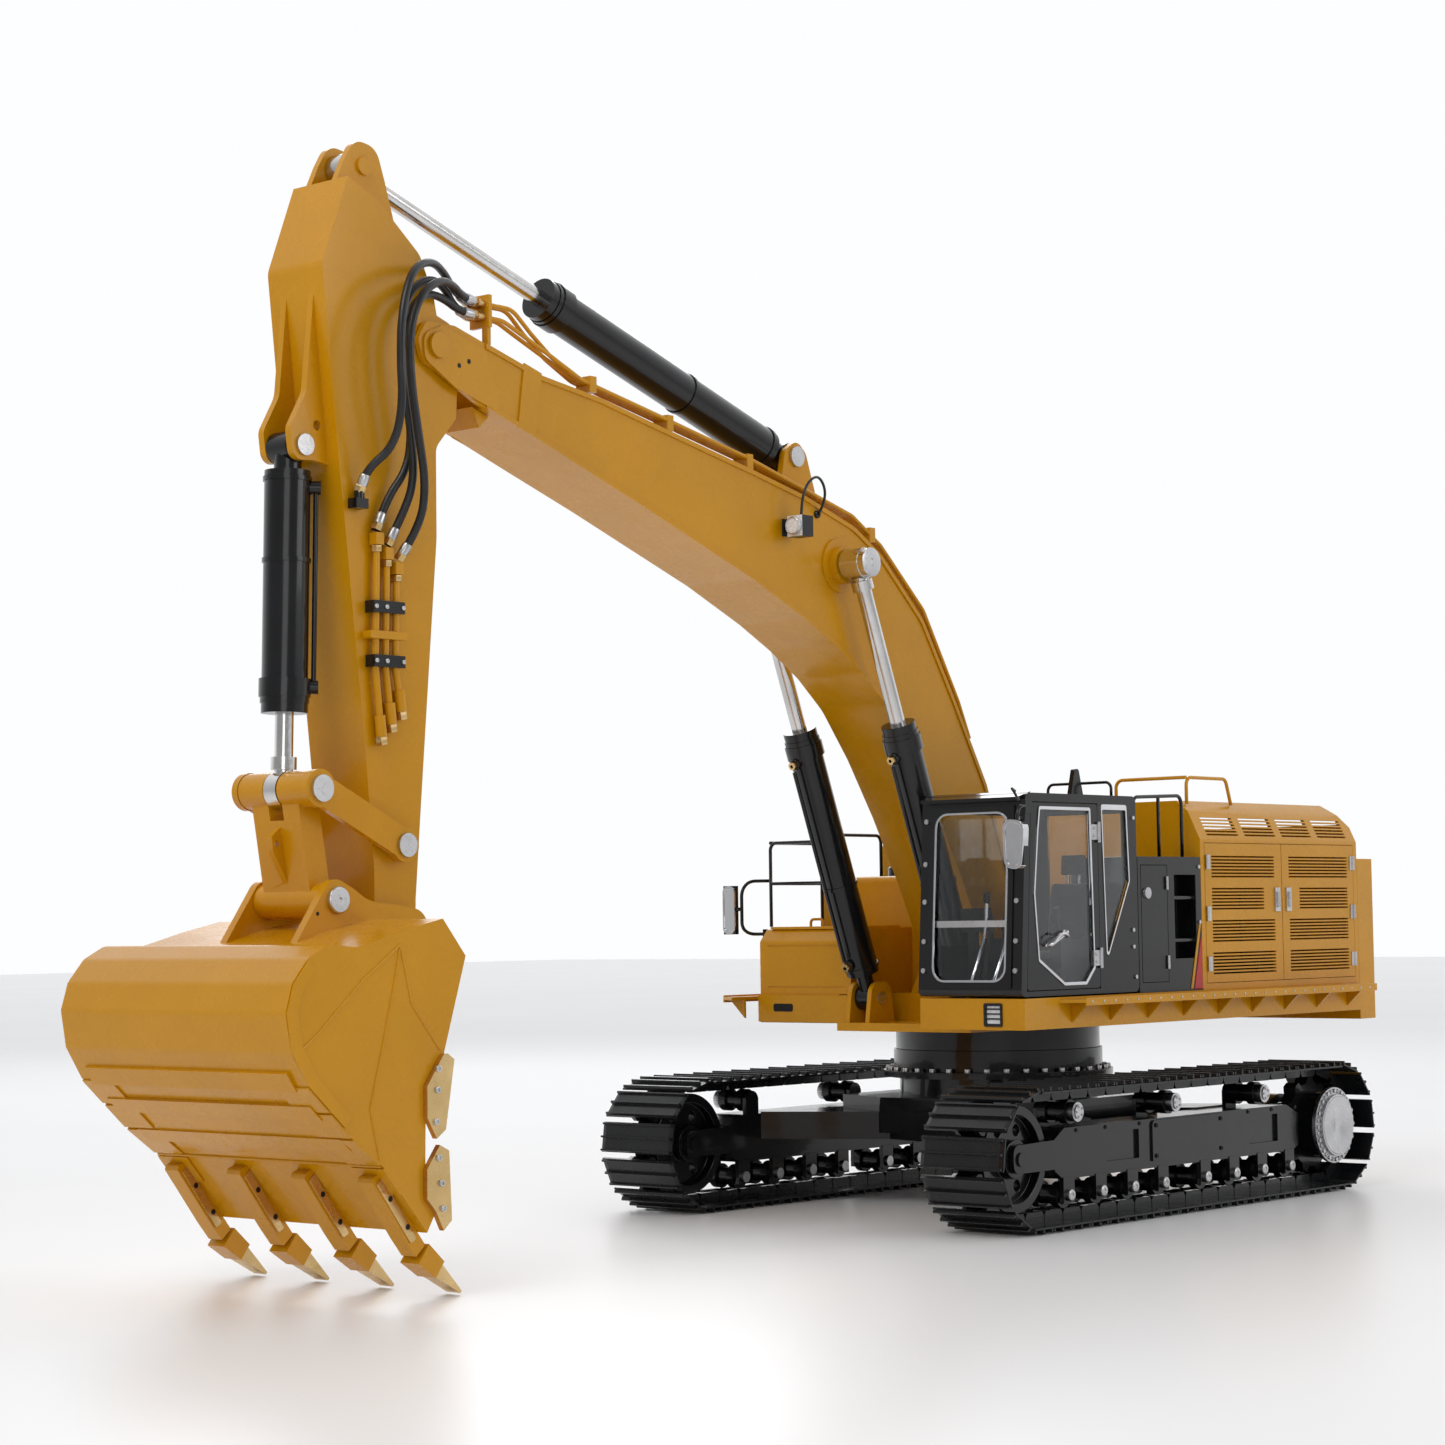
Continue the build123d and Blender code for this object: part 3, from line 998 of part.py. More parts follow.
# Wear bars across the bucket's back: start, end and outward thickness
HEEL_BARS = ((622.5, 79.6, 615.2, 73.6, 1.1, -1.3), (641, 95.6, 633.5, 88.8, 1.1, -1.3),
             (654.5, 111, 648.6, 102.6, 1.4, -1.0))

TOOTH_Y = (-70.5, -23.5, 23.5, 70.5)


def tooth_outline(start, end, thick_start, thick_end):
    """Wedge in XZ along the tooth's axis, from and to distances and half thicknesses."""
    (x0, z0), (x1, z1) = TOOTH_BASE, TOOTH_TIP
    length = math.dist(TOOTH_BASE, TOOTH_TIP)
    dx, dz = (x1 - x0) / length, (z1 - z0) / length
    return [(x0 + dx * s - dz * t, z0 + dz * s + dx * t)
            for s, t in ((start, -thick_start), (end, -thick_end), (end, thick_end),
                         (start, thick_start))]


TOOTH_BASE, TOOTH_TIP = (574.5, 22.5), (547.0, 0.9)


def bucket_teeth():
    """Four adapters strapped over the lip, each with its tip; side cutters too."""
    adapter = [(577.5, 33.8), (600.5, 61.0), (604.5, 59.5, 2), (605, 57), (584, 29), (577, 20.5),
               (571, 25.5)]
    blade = plate([(576, 32), (604, 65), (600, 68.4), (573.5, 37)], -BUCKET_HALF, BUCKET_HALF)
    pieces = []
    for y in TOOTH_Y:
        socket = plate(tooth_outline(1.5, 15, 5.6, 4.6), y - 6.4, y + 6.4)
        point = plate(tooth_outline(14, 34.6, 4.0, 0.7), y - 4.6, y + 4.6)
        tip = join(socket, point)
        nose = cut(plate(adapter, y - 5, y + 5), blade, tip)
        pieces += solids_of(nose) + solids_of(tip)
    upper = [(578, 101), (566, 117, 3), (560, 113), (566, 80), (572, 76), (578, 86)]
    lower = [(578.5, 62), (570, 73), (564, 70), (562.5, 37), (568, 32.5), (573, 42), (578.5, 48)]
    w = BUCKET_HALF + EPS
    for outline in (upper, lower):
        pieces += both(plate(outline, w, w + 3))
    return pieces


# --------------------------------------------------------------------- hoses
HOSE_R = 2.1
# Hand-chosen centre lines from the bulkhead on the boom to the fittings on the arm
ARM_HOSES = {
    "outer": [(477.2, 20.0, 492), (489, 20.4, 492.6), (503, 23.0, 497), (519, 27.0, 497),
              (532, 29.4, 487), (538, 30.0, 470), (536, 30.0, 448), (532, 29.4, 424),
              (534, 28.2, 405), (546, 25.4, 389), (551, 23.8, 374.6)],
    "upper": [(477.2, 20.0, 499), (489, 22.5, 500), (503, 30.0, 503), (519, 37.0, 502),
              (536, 41.0, 492), (545, 42.0, 472), (544, 42.0, 446), (538, 41.0, 420),
              (531.5, 39.0, 396), (530, 33.0, 376), (536.6, 25.0, 360.6)],
    "middle": [(477.2, 15.4, 492), (488, 15.6, 494.6), (503, 24.0, 503), (521, 30.0, 504),
               (537, 32.4, 493), (544, 34.0, 474), (542, 34.6, 448), (537.5, 34.6, 424),
               (534, 33.4, 399), (537.5, 28.6, 382), (543.6, 24.4, 367.6)],
    "lower": [(477.2, 15.4, 499), (489, 16.5, 503), (503, 24.0, 510), (522, 34.0, 512),
              (542, 42.0, 504), (553, 46.0, 484), (556, 47.0, 458), (553, 45.6, 433),
              (553, 38.6, 413), (562, 28.0, 402), (562.6, 24.4, 392.6)],
}


def main():
    sides = (("left", 1), ("right", -1))
    frame, wheel_rear, wheel_front = track_frame(), sprocket(), idler()
    for name, side in sides:
        place = Location((0, side * GAUGE_HALF, 0))

        def put(shape):
            pieces = solids_of(shape) if side > 0 else mirror_y(shape)
            return [piece.moved(place) for piece in pieces]

        save("track_frame_" + name, put(frame))
        save("track_chain_" + name, track_chain(side))
        save("sprocket_" + name, put(wheel_rear))
        save("idler_" + name, put(wheel_front))
        for i, x in enumerate(CARRIER_X):
            save("carrier_roller_%s_%d" % (name, i + 1), put(carrier_roller(x)))
    rollers = [r.moved(Location((0, side * GAUGE_HALF, 0))) for side in (1, -1)
               for x in ROLLER_X for r in track_roller(x)]
    save("track_rollers", rollers)
    save("car_body", car_body())
    save("slew_bearing", slew_bearing())

    save("house_frame", house_frame())
    save("house_pins", pins_of_house())
    save("counterweight", counterweight())
    save("engine_cover", engine_cover())
    save("service_door_front", service_door(DOOR_MID, DOOR_FRONT, DOOR_FRONT))
    save("service_door_rear", service_door(DOOR_REAR, DOOR_MID, DOOR_REAR))
    save("side_cabinet", side_cabinet())
    save("cabinet_door", cabinet_door())
    save("walkway", walkway())
    save("tool_box", tool_box())
    save("cab_shell", cab_shell())
    save("cab_glass", cab_glass())
    save("cab_door", cab_door())
    save("cab_door_glass", cab_door_glass())
    save("operator_seat", operator_seat())
    save("control_console", control_console())
    save("mirrors", mirrors())
    save("hand_rails", hand_rails())
    save("fasteners", fasteners())
    save("power_unit", hydraulic_pump(), hydraulic_tank())
    save("valve_block", valve_block())
    save("electronics", battery_pack(), control_receiver())

    save("boom", boom())
    save("boom_pipes", boom_pipes())
    save("work_light", work_light())
    for name, side in sides:
        def flip(shape):
            return shape if side > 0 else mirror_y(shape)

        save("boom_barrel_" + name, flip(boom_barrel()))
        save("boom_rod_" + name, flip(boom_rod()))
    save("arm_barrel", arm_barrel())
    save("arm_rod", arm_rod())
    save("arm", arm())
    save("arm_pins", arm_pins())
    save("arm_pipes", arm_pipes())
    save("bucket_barrel", bucket_barrel())
    save("bucket_rod", bucket_rod())
    save("rocker_links", rocker_links())
    save("power_link", power_link())
    save("bucket", bucket())
    save("bucket_sides", bucket_sides())
    save("bucket_teeth", bucket_teeth())

    wire, path, radii = tube(LIGHT_WIRE, LIGHT_WIRE_R)
    print("light wire: length %.1f mm, radii %s, volume ratio %.4f" % (
        path.length, " ".join("%.0f" % r for r in radii),
        wire.volume / (math.pi * LIGHT_WIRE_R ** 2 * path.length)))
    save("light_wire", wire)
    hoses = []
    for name, points in ARM_HOSES.items():
        hose, path, radii = tube(points, HOSE_R)
        section = math.pi * HOSE_R ** 2
        print("arm hose %s: length %.1f mm, radii %s, volume ratio %.4f" % (
            name, path.length, " ".join("%.0f" % r for r in radii),
            hose.volume / (section * path.length)))
        hoses.append(hose)
    save("arm_hoses", hoses)


main()
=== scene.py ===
import bpy
import bmesh
import math
from mathutils import Vector, Matrix


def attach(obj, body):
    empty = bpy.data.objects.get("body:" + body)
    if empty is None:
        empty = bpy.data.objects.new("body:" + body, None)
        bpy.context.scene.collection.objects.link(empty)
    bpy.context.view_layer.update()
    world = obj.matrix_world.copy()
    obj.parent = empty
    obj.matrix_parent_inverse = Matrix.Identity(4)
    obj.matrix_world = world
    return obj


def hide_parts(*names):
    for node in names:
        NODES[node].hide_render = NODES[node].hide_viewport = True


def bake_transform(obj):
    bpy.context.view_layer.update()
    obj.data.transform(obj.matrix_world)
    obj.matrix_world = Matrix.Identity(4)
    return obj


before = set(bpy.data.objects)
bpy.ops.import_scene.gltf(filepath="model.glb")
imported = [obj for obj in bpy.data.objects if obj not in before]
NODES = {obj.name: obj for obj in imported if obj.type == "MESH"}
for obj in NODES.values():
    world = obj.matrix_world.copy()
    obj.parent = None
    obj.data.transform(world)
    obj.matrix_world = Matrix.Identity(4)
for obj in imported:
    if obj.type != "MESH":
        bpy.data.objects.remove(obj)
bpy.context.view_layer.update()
OX = 188.2      # slew axis to the frame's origin, mm


def P(x, y, z):
    """Machine point in mm, measured from the slew axis, in the row frame in metres."""
    return Vector(((x - OX) / 1000, y / 1000, z / 1000))


# ------------------------------------------------------------------ camera
yaw, pitch, roll = math.radians(40.71), math.radians(3.63), math.radians(0.81)
forward = Vector((-math.cos(yaw) * math.cos(pitch), -math.sin(yaw) * math.cos(pitch), math.sin(pitch)))
right = Vector((-math.sin(yaw), math.cos(yaw), 0))
up = right.cross(forward).normalized()
right2 = right * math.cos(roll) - up * math.sin(roll)
up2 = right * math.sin(roll) + up * math.cos(roll)
cam_data = bpy.data.cameras.new("camera")
cam_data.sensor_width = 36
cam_data.sensor_fit = "HORIZONTAL"
cam_data.lens = 3103.3 / 1445 * 36
cam_data.clip_start = 0.01
cam = bpy.data.objects.new("camera", cam_data)
turn = Matrix((right2, up2, -forward)).transposed().to_4x4()
cam.matrix_world = Matrix.Translation(P(1602.5, 1153.6, 177.7)) @ turn
bpy.context.scene.collection.objects.link(cam)
bpy.context.scene.camera = cam


# --------------------------------------------------------------- materials
def tree(name):
    m = bpy.data.materials.new(name)
    m.use_nodes = True
    t = m.node_tree
    return m, t, t.nodes["Principled BSDF"]


def link(t, a, ao, b, bi):
    t.links.new(a.outputs[ao], b.inputs[bi])


def coords(t, scale=(1, 1, 1)):
    c = t.nodes.new("ShaderNodeTexCoord")
    m = t.nodes.new("ShaderNodeMapping")
    m.inputs["Scale"].default_value = scale
    link(t, c, "Object", m, "Vector")
    return m


def noise(t, scale, detail=3.0, stretch=(1, 1, 1), rough=0.5):
    n = t.nodes.new("ShaderNodeTexNoise")
    n.inputs["Scale"].default_value = scale
    n.inputs["Detail"].default_value = detail
    n.inputs["Roughness"].default_value = rough
    link(t, coords(t, stretch), "Vector", n, "Vector")
    return n


def ramp(t, source, low, high, a=0.35, b=0.65):
    r = t.nodes.new("ShaderNodeMapRange")
    r.inputs["From Min"].default_value = a
    r.inputs["From Max"].default_value = b
    r.inputs["To Min"].default_value = low
    r.inputs["To Max"].default_value = high
    link(t, source, 0, r, "Value")
    return r


def tint(t, source, bsdf, dark, light):
    r = t.nodes.new("ShaderNodeValToRGB")
    r.color_ramp.elements[0].position = 0.3
    r.color_ramp.elements[0].color = (*dark, 1)
    r.color_ramp.elements[1].position = 0.7
    r.color_ramp.elements[1].color = (*light, 1)
    link(t, source, 0, r, "Fac")
    link(t, r, "Color", bsdf, "Base Color")


def bump(t, source, bsdf, strength, distance):
    b = t.nodes.new("ShaderNodeBump")
    b.inputs["Strength"].default_value = strength
    b.inputs["Distance"].default_value = distance
    link(t, source, 0, b, "Height")
    link(t, b, "Normal", bsdf, "Normal")


def paint(name, dark, light, rough=0.24, coat=0.7, peel=0.05, spread=0.06):
    m, t, b = tree(name)
    tint(t, noise(t, 22, 4), b, dark, light)
    link(t, ramp(t, noise(t, 65, 5), rough, rough + spread), 0, b, "Roughness")
    b.inputs["Coat Weight"].default_value = coat
    b.inputs["Coat Roughness"].default_value = 0.05
    b.inputs["Specular IOR Level"].default_value = 0.3
    bump(t, noise(t, 620, 2), b, peel, 0.0006)
    return m


def metal(name, dark, light, rough, spread, stretch=(1, 1, 1), scale=300, strength=0.06):
    m, t, b = tree(name)
    b.inputs["Metallic"].default_value = 1.0
    tint(t, noise(t, 40, 3), b, dark, light)
    n = noise(t, scale, 4, stretch)
    link(t, ramp(t, n, rough, rough + spread), 0, b, "Roughness")
    bump(t, n, b, strength, 0.0003)
    return m


YELLOW = paint("yellow_paint", (0.58, 0.262, 0.0006), (0.64, 0.290, 0.0010), 0.24, 0.15)
BLACK = paint("black_paint", (0.004, 0.0042, 0.005), (0.008, 0.0085, 0.010), 0.2, 0.35, 0.05)
SATIN_BLACK = paint("satin_black_paint", (0.011, 0.012, 0.014), (0.019, 0.020, 0.023), 0.36, 0.15, 0.08)
TRACK = paint("track_black", (0.004, 0.0045, 0.0055), (0.010, 0.0105, 0.012), 0.22, 0.3, 0.12, 0.16)
RED = paint("red_decal", (0.42, 0.010, 0.008), (0.50, 0.014, 0.010), 0.3, 0.4)
STEEL = metal("turned_steel", (0.50, 0.50, 0.51), (0.68, 0.68, 0.69), 0.26, 0.12, (1, 1, 1), 500)
CHROME = metal("chrome", (0.70, 0.70, 0.72), (0.82, 0.82, 0.84), 0.05, 0.05, (1, 1, 1), 160, 0.01)
ROD = metal("polished_rod", (0.60, 0.59, 0.58), (0.74, 0.73, 0.72), 0.13, 0.10, (1, 1, 1), 400, 0.02)
BRASS = metal("brass", (0.60, 0.41, 0.17), (0.78, 0.56, 0.27), 0.25, 0.14, (1, 1, 1), 260, 0.08)
ALLOY = metal("alloy", (0.42, 0.42, 0.44), (0.58, 0.58, 0.60), 0.35, 0.15, (1, 1, 1), 200, 0.1)
# matte near-black paint as painted shade: it stands for the shade inside holes, slots and recesses that are
# not cut
PAINTED_SHADE = paint("painted_shade_black", (0.004, 0.004, 0.005), (0.008, 0.008, 0.009), 0.5, 0.0, 0.1)


def rubber():
    m, t, b = tree("hose_rubber")
    tint(t, noise(t, 90, 3), b, (0.008, 0.008, 0.009), (0.016, 0.016, 0.018))
    n = noise(t, 900, 2)
    link(t, ramp(t, n, 0.28, 0.44), 0, b, "Roughness")
    bump(t, n, b, 0.12, 0.0002)
    return m


def plastic():
    m, t, b = tree("black_plastic")
    tint(t, noise(t, 60, 3), b, (0.012, 0.012, 0.013), (0.022, 0.022, 0.024))
    n = noise(t, 1500, 2)
    link(t, ramp(t, n, 0.45, 0.6), 0, b, "Roughness")
    bump(t, n, b, 0.25, 0.0003)
    return m


def fabric():
    m, t, b = tree("seat_fabric")
    tint(t, noise(t, 400, 3), b, (0.010, 0.010, 0.012), (0.030, 0.030, 0.034))
    w = t.nodes.new("ShaderNodeTexWave")
    w.inputs["Scale"].default_value = 700
    w.inputs["Distortion"].default_value = 1.5
    link(t, coords(t, (1, 1, 0.6)), "Vector", w, "Vector")
    b.inputs["Roughness"].default_value = 0.85
    b.inputs["Sheen Weight"].default_value = 0.3
    bump(t, w, b, 0.4, 0.0004)
    return m


def glass():
    m, t, b = tree("clear_glass")
    b.inputs["Base Color"].default_value = (0.93, 0.96, 0.97, 1)
    b.inputs["Transmission Weight"].default_value = 1.0
    b.inputs["IOR"].default_value = 1.45
    link(t, ramp(t, noise(t, 30, 2), 0.0, 0.03), 0, b, "Roughness")
    return m


def mirror_glass():
    m, t, b = tree("mirror_glass")
    b.inputs["Metallic"].default_value = 1.0
    tint(t, noise(t, 30, 2), b, (0.86, 0.87, 0.89), (0.92, 0.93, 0.94))
    b.inputs["Roughness"].default_value = 0.02
    return m


def lens():
    m, t, b = tree("lamp_lens")
    tint(t, noise(t, 500, 2), b, (0.70, 0.72, 0.74), (0.90, 0.92, 0.94))
    b.inputs["Roughness"].default_value = 0.08
    b.inputs["Coat Weight"].default_value = 1.0
    v = t.nodes.new("ShaderNodeTexVoronoi")
    v.inputs["Scale"].default_value = 900
    link(t, coords(t), "Vector", v, "Vector")
    bump(t, v, b, 0.3, 0.0004)
    return m


RUBBER, PLASTIC, FABRIC, GLASS, MIRROR, LENS = rubber(), plastic(), fabric(), glass(), mirror_glass(), lens()


# -------------------------------------------------- finish of the CAD nodes
def curved_faces(mesh):
    """Faces that belong to a curved surface: a neighbour meets them at a small angle."""
    keys = [tuple(round(c * 1e6) for c in v.co) for v in mesh.vertices]
    edges = {}
    for f in mesh.polygons:
        ring = [keys[v] for v in f.vertices]
        for a, b in zip(ring, ring[1:] + ring[:1]):
            edges.setdefault((min(a, b), max(a, b)), []).append(f.index)
    curved = set()
    low, high = math.cos(math.radians(0.6)), math.cos(math.radians(31))
    for pair in edges.values():
        if len(pair) == 2:
            d = mesh.polygons[pair[0]].normal.dot(mesh.polygons[pair[1]].normal)
            if high < d < low:
                curved.update(pair)
    return curved


def dress(node, base, width=0.35, rules=()):
    """Materials by region and softened edges.

    A rule is a test of a face's centre in mm and of its normal, with the material it gives.
    """
    o = NODES[node]
    with bpy.context.temp_override(object=o, active_object=o, selected_objects=[o]):
        bpy.ops.mesh.customdata_custom_splitnormals_clear()
    o.data.materials.clear()
    o.data.materials.append(base)
    for _, m in rules:
        o.data.materials.append(m)
    curved = curved_faces(o.data)
    for f in o.data.polygons:
        f.use_smooth = f.index in curved
        f.material_index = 0
        c = f.center
        x, y, z = c.x * 1000 + OX, c.y * 1000, c.z * 1000
        for i, (test, _) in enumerate(rules):
            if test(x, y, z, f.normal):
                f.material_index = i + 1
                break
    w = o.modifiers.new("weld", "WELD")
    w.merge_threshold = 0.00001
    if width:
        e = o.modifiers.new("edges", "BEVEL")
        e.width = width / 1000
        e.segments = 2
        e.limit_method = "ANGLE"
        e.angle_limit = math.radians(32)
        e.use_clamp_overlap = True
        n = o.modifiers.new("normals", "WEIGHTED_NORMAL")
        n.weight = 100
        n.keep_sharp = True


def within(x, z, at, r):
    return math.hypot(x - at[0], z - at[1]) < r


# pivots in the machine's XZ plane, mm
FOOT, H, G = (16, 150), (183, 384), (82, 128)       # boom foot, boom cylinder's pin and foot
A, W = (509, 471.5), (208, 447)                     # arm pivot, arm cylinder's foot
BP, S, R = (537, 169), (592.2, 243.8), (583, 189.7)     # bucket pivot, link pin, bucket pin
AX, WZ = 167.08, 40.8       # wheel axles, ahead of and behind the slew axis, and their height
BOOM_CYL_Y, BOOM_CYL_LENGTH = 37.6, 275.2

dress("counterweight", YELLOW, 0.8)
dress("house_frame", YELLOW, 0.4, [
    (lambda x, y, z, n: z < 111.9 and math.hypot(x, y) < 66, BLACK),
    # faces inside this front pocket are painted near-black as painted shade
    (lambda x, y, z, n: x > 142 and 95 < y < 109 and z < 128, PAINTED_SHADE)])
dress("house_pins", STEEL, 0.3)
dress("engine_cover", YELLOW, 0.25)
dress("service_door_front", YELLOW, 0.15, [(lambda x, y, z, n: y > 124.52, STEEL)])
dress("service_door_rear", YELLOW, 0.15, [(lambda x, y, z, n: y > 124.52, STEEL)])
dress("side_cabinet", BLACK, 0.3, [
    (lambda x, y, z, n: y > 124.6 and x < -30 and z < 170, RED)])
dress("cabinet_door", BLACK, 0.2, [(lambda x, y, z, n: y > 124.6, STEEL)])
dress("walkway", YELLOW, 0.25)
dress("tool_box", YELLOW, 0.5, [(lambda x, y, z, n: z > 203.9, BLACK)])
dress("cab_shell", BLACK, 0.4)
dress("cab_glass", GLASS, 0.0, [
    (lambda x, y, z, n: 171 < z < 175 and x > 140, STEEL)])
dress("cab_door", BLACK, 0.3, [(lambda x, y, z, n: y > 124.6, STEEL)])
dress("cab_door_glass", GLASS, 0.0, [(lambda x, y, z, n: y > 124.0, CHROME)])
dress("control_console", PLASTIC, 0.3)
dress("mirrors", BLACK, 0.3)
dress("hand_rails", BLACK, 0.0, [
    (lambda x, y, z, n: x < -48 and z > 244, YELLOW)])
dress("fasteners", STEEL, 0.2)
dress("power_unit", ALLOY, 0.5, [(lambda x, y, z, n: y < -47, YELLOW)])
dress("valve_block", ALLOY, 0.3)
dress("electronics", PLASTIC, 0.4)
dress("car_body", BLACK, 0.6)
dress("slew_bearing", BLACK, 0.3, [(lambda x, y, z, n: math.hypot(x, y) > 66.6, STEEL)])
for side in ("left", "right"):
    sg = 1 if side == "left" else -1
    dress("track_frame_" + side, BLACK, 0.5)
    dress("track_chain_" + side, TRACK, 0.25)
    dress("sprocket_" + side, BLACK, 0.25, [
        (lambda x, y, z, n: abs(y) > 140.6, STEEL)])
    dress("idler_" + side, BLACK, 0.4)
    for i in (1, 2, 3):
        dress("carrier_roller_%s_%d" % (side, i), BLACK, 0.3, [
            (lambda x, y, z, n: abs(y) > 134.5, STEEL)])
    dress("boom_barrel_" + side, BLACK, 0.3)
    dress("boom_rod_" + side, ROD, 0.3)
dress("track_rollers", BLACK, 0.3, [(lambda x, y, z, n: abs(y) > 135.2 or abs(y) < 108.4, STEEL)])
dress("boom", YELLOW, 0.6)
dress("boom_pipes", YELLOW, 0.15, [(lambda x, y, z, n: x > 471.3, BRASS)])
dress("light_wire", RUBBER, 0.0)
dress("work_light", SATIN_BLACK, 0.4, [(lambda x, y, z, n: x > 235.6, LENS)])
dress("arm_barrel", BLACK, 0.3, [(lambda x, y, z, n: abs(y) > 13.1 and within(x, z, W, 7), STEEL)])
dress("arm_rod", ROD, 0.3)
dress("arm", YELLOW, 0.6)
dress("arm_pins", STEEL, 0.3, [(lambda x, y, z, n: within(x, z, A, 12), YELLOW)])


def on_arm_clip(x, y, z, n):
    """Faces of the two black clips over the arm's hard lines."""
    in_band = x < 557 and (331.9 < z < 338.1 or 304.9 < z < 311.1)
    square = abs(n.y) < 0.5 and (abs(n.z) > 0.9 or abs(n.x) > 0.9)
    return in_band and (y > 25.7 or square)


dress("arm_pipes", YELLOW, 0.25, [
    (on_arm_clip, BLACK),
    (lambda x, y, z, n: x > 558.5, BLACK)])
dress("bucket_barrel", BLACK, 0.3)
dress("bucket_rod", ROD, 0.3)
dress("rocker_links", YELLOW, 0.4, [
    (lambda x, y, z, n: abs(y) > 27.65 or (abs(y) < 23.5 and within(x, z, S, 5)), STEEL)])
dress("power_link", YELLOW, 0.5)
dress("bucket", YELLOW, 0.5, [(lambda x, y, z, n: 28.25 < abs(y) < 31 and within(x, z, R, 6.7), STEEL)])
dress("bucket_sides", YELLOW, 0.5)
TOOTH = Vector((-0.7848, -0.6198))
dress("bucket_teeth", BRASS, 0.3, [
    (lambda x, y, z, n: abs(y) < 81 and TOOTH.dot(Vector((x - 574.5, z - 22.5))) < 15.1, YELLOW)])


# ----------------------------------------------------------- mesh building
class Piece:
    """A mesh put together from turned, bent and plate shapes, in machine mm."""

    def __init__(self, name, *mats):
        self.name, self.mats, self.bm, self.m = name, mats, bmesh.new(), 0

    def use(self, i):
        self.m = i
        return self

    def face(self, verts):
        try:
            f = self.bm.faces.new(verts)
        except ValueError:
            return None
        f.material_index = self.m
        f.smooth = True
        return f

    def turned(self, base, axis, profile, segments=24):
        """Revolves (radius, height) pairs about the axis from base."""
        z = Vector(axis).normalized()
        x = z.orthogonal().normalized()
        y = z.cross(x)
        base = Vector(base)
        rings = []
        for r, h in profile:
            if r < 1e-6:
                rings.append([self.bm.verts.new(base + z * h)])
            else:
                rings.append([self.bm.verts.new(base + z * h + (x * math.cos(a) + y * math.sin(a)) * r)
                              for a in (2 * math.pi * i / segments for i in range(segments))])
        for lower, upper in zip(rings, rings[1:]):
            for i in range(segments):
                j = (i + 1) % segments
                if len(lower) == 1 and len(upper) == 1:
                    continue
                if len(lower) == 1:
                    self.face([lower[0], upper[i], upper[j]])
                elif len(upper) == 1:
                    self.face([lower[i], upper[0], lower[j]])
                else:
                    self.face([lower[i], upper[i], upper[j], lower[j]])
        return self

    def screw(self, base, axis, r, h):
        """Cap screw with a rounded head and a socket."""
        profile = [(r, 0), (r, h * 0.7), (r * 0.88, h), (r * 0.5, h), (r * 0.48, h * 0.45), (0, h * 0.4)]
        return self.turned(base, axis, profile, 18)

    def hexagon(self, base, axis, r, h, hole=0.0):
        return self.turned(base, axis, [(r * 0.94, 0), (r, h * 0.08), (r, h * 0.9), (r * 0.9, h),
                                        (max(hole, 0.01), h)], 6)

    def pipe(self, points, r, segments=12, ends=True):
        """Round bar through points given close together."""
        pts = [Vector(p) for p in points]
        rings, side = [], None
        for i, p in enumerate(pts):
            d = (pts[min(i + 1, len(pts) - 1)] - pts[max(i - 1, 0)]).normalized()
            side = d.orthogonal() if side is None else side - d * side.dot(d)
            side.normalize()
            other = d.cross(side)
            rings.append([self.bm.verts.new(p + (side * math.cos(a) + other * math.sin(a)) * r)
                          for a in (2 * math.pi * k / segments for k in range(segments))])
        for lower, upper in zip(rings, rings[1:]):
            for k in range(segments):
                j = (k + 1) % segments
                self.face([lower[k], lower[j], upper[j], upper[k]])
        if ends:
            self.face(rings[0][::-1])
            self.face(rings[-1])
        return self

    def plate(self, outline, y0, y1, place=None):
        """Flat plate of the outline in XZ between y0 and y1, or through `place`."""
        put = place or (lambda u, v, w: (u, w, v))
        low = [self.bm.verts.new(put(u, v, y0)) for u, v in outline]
        high = [self.bm.verts.new(put(u, v, y1)) for u, v in outline]
        self.face(low[::-1])
        self.face(high)
        n = len(outline)
        for i in range(n):
            j = (i + 1) % n
            self.face([low[i], low[j], high[j], high[i]])
        return self

    def ring(self, outer, inner, y0, y1, place=None):
        """Flat frame between two outlines with the same number of corners."""
        put = place or (lambda u, v, w: (u, w, v))
        rows = [[self.bm.verts.new(put(u, v, w)) for u, v in line]
                for line, w in ((outer, y0), (outer, y1), (inner, y1), (inner, y0))]
        n = len(outer)
        for a, b in zip(rows, rows[1:] + rows[:1]):
            for i in range(n):
                j = (i + 1) % n
                self.face([a[i], a[j], b[j], b[i]])
        return self

    def done(self, body, bevel=0.25, subdiv=0):
        bmesh.ops.recalc_face_normals(self.bm, faces=self.bm.faces)
        for v in self.bm.verts:
            v.co = Vector(((v.co.x - OX) / 1000, v.co.y / 1000, v.co.z / 1000))
        mesh = bpy.data.meshes.new(self.name)
        self.bm.to_mesh(mesh)
        self.bm.free()
        for m in self.mats:
            mesh.materials.append(m)
        o = bpy.data.objects.new(self.name, mesh)
        bpy.context.scene.collection.objects.link(o)
        if bevel:
            e = o.modifiers.new("edges", "BEVEL")
            e.width = bevel / 1000
            e.segments = 2
            e.limit_method = "ANGLE"
            e.angle_limit = math.radians(35)
            e.harden_normals = True
        if subdiv:
            s = o.modifiers.new("smooth", "SUBSURF")
            s.levels = s.render_levels = subdiv
        if body:
            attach(o, body)
        return o


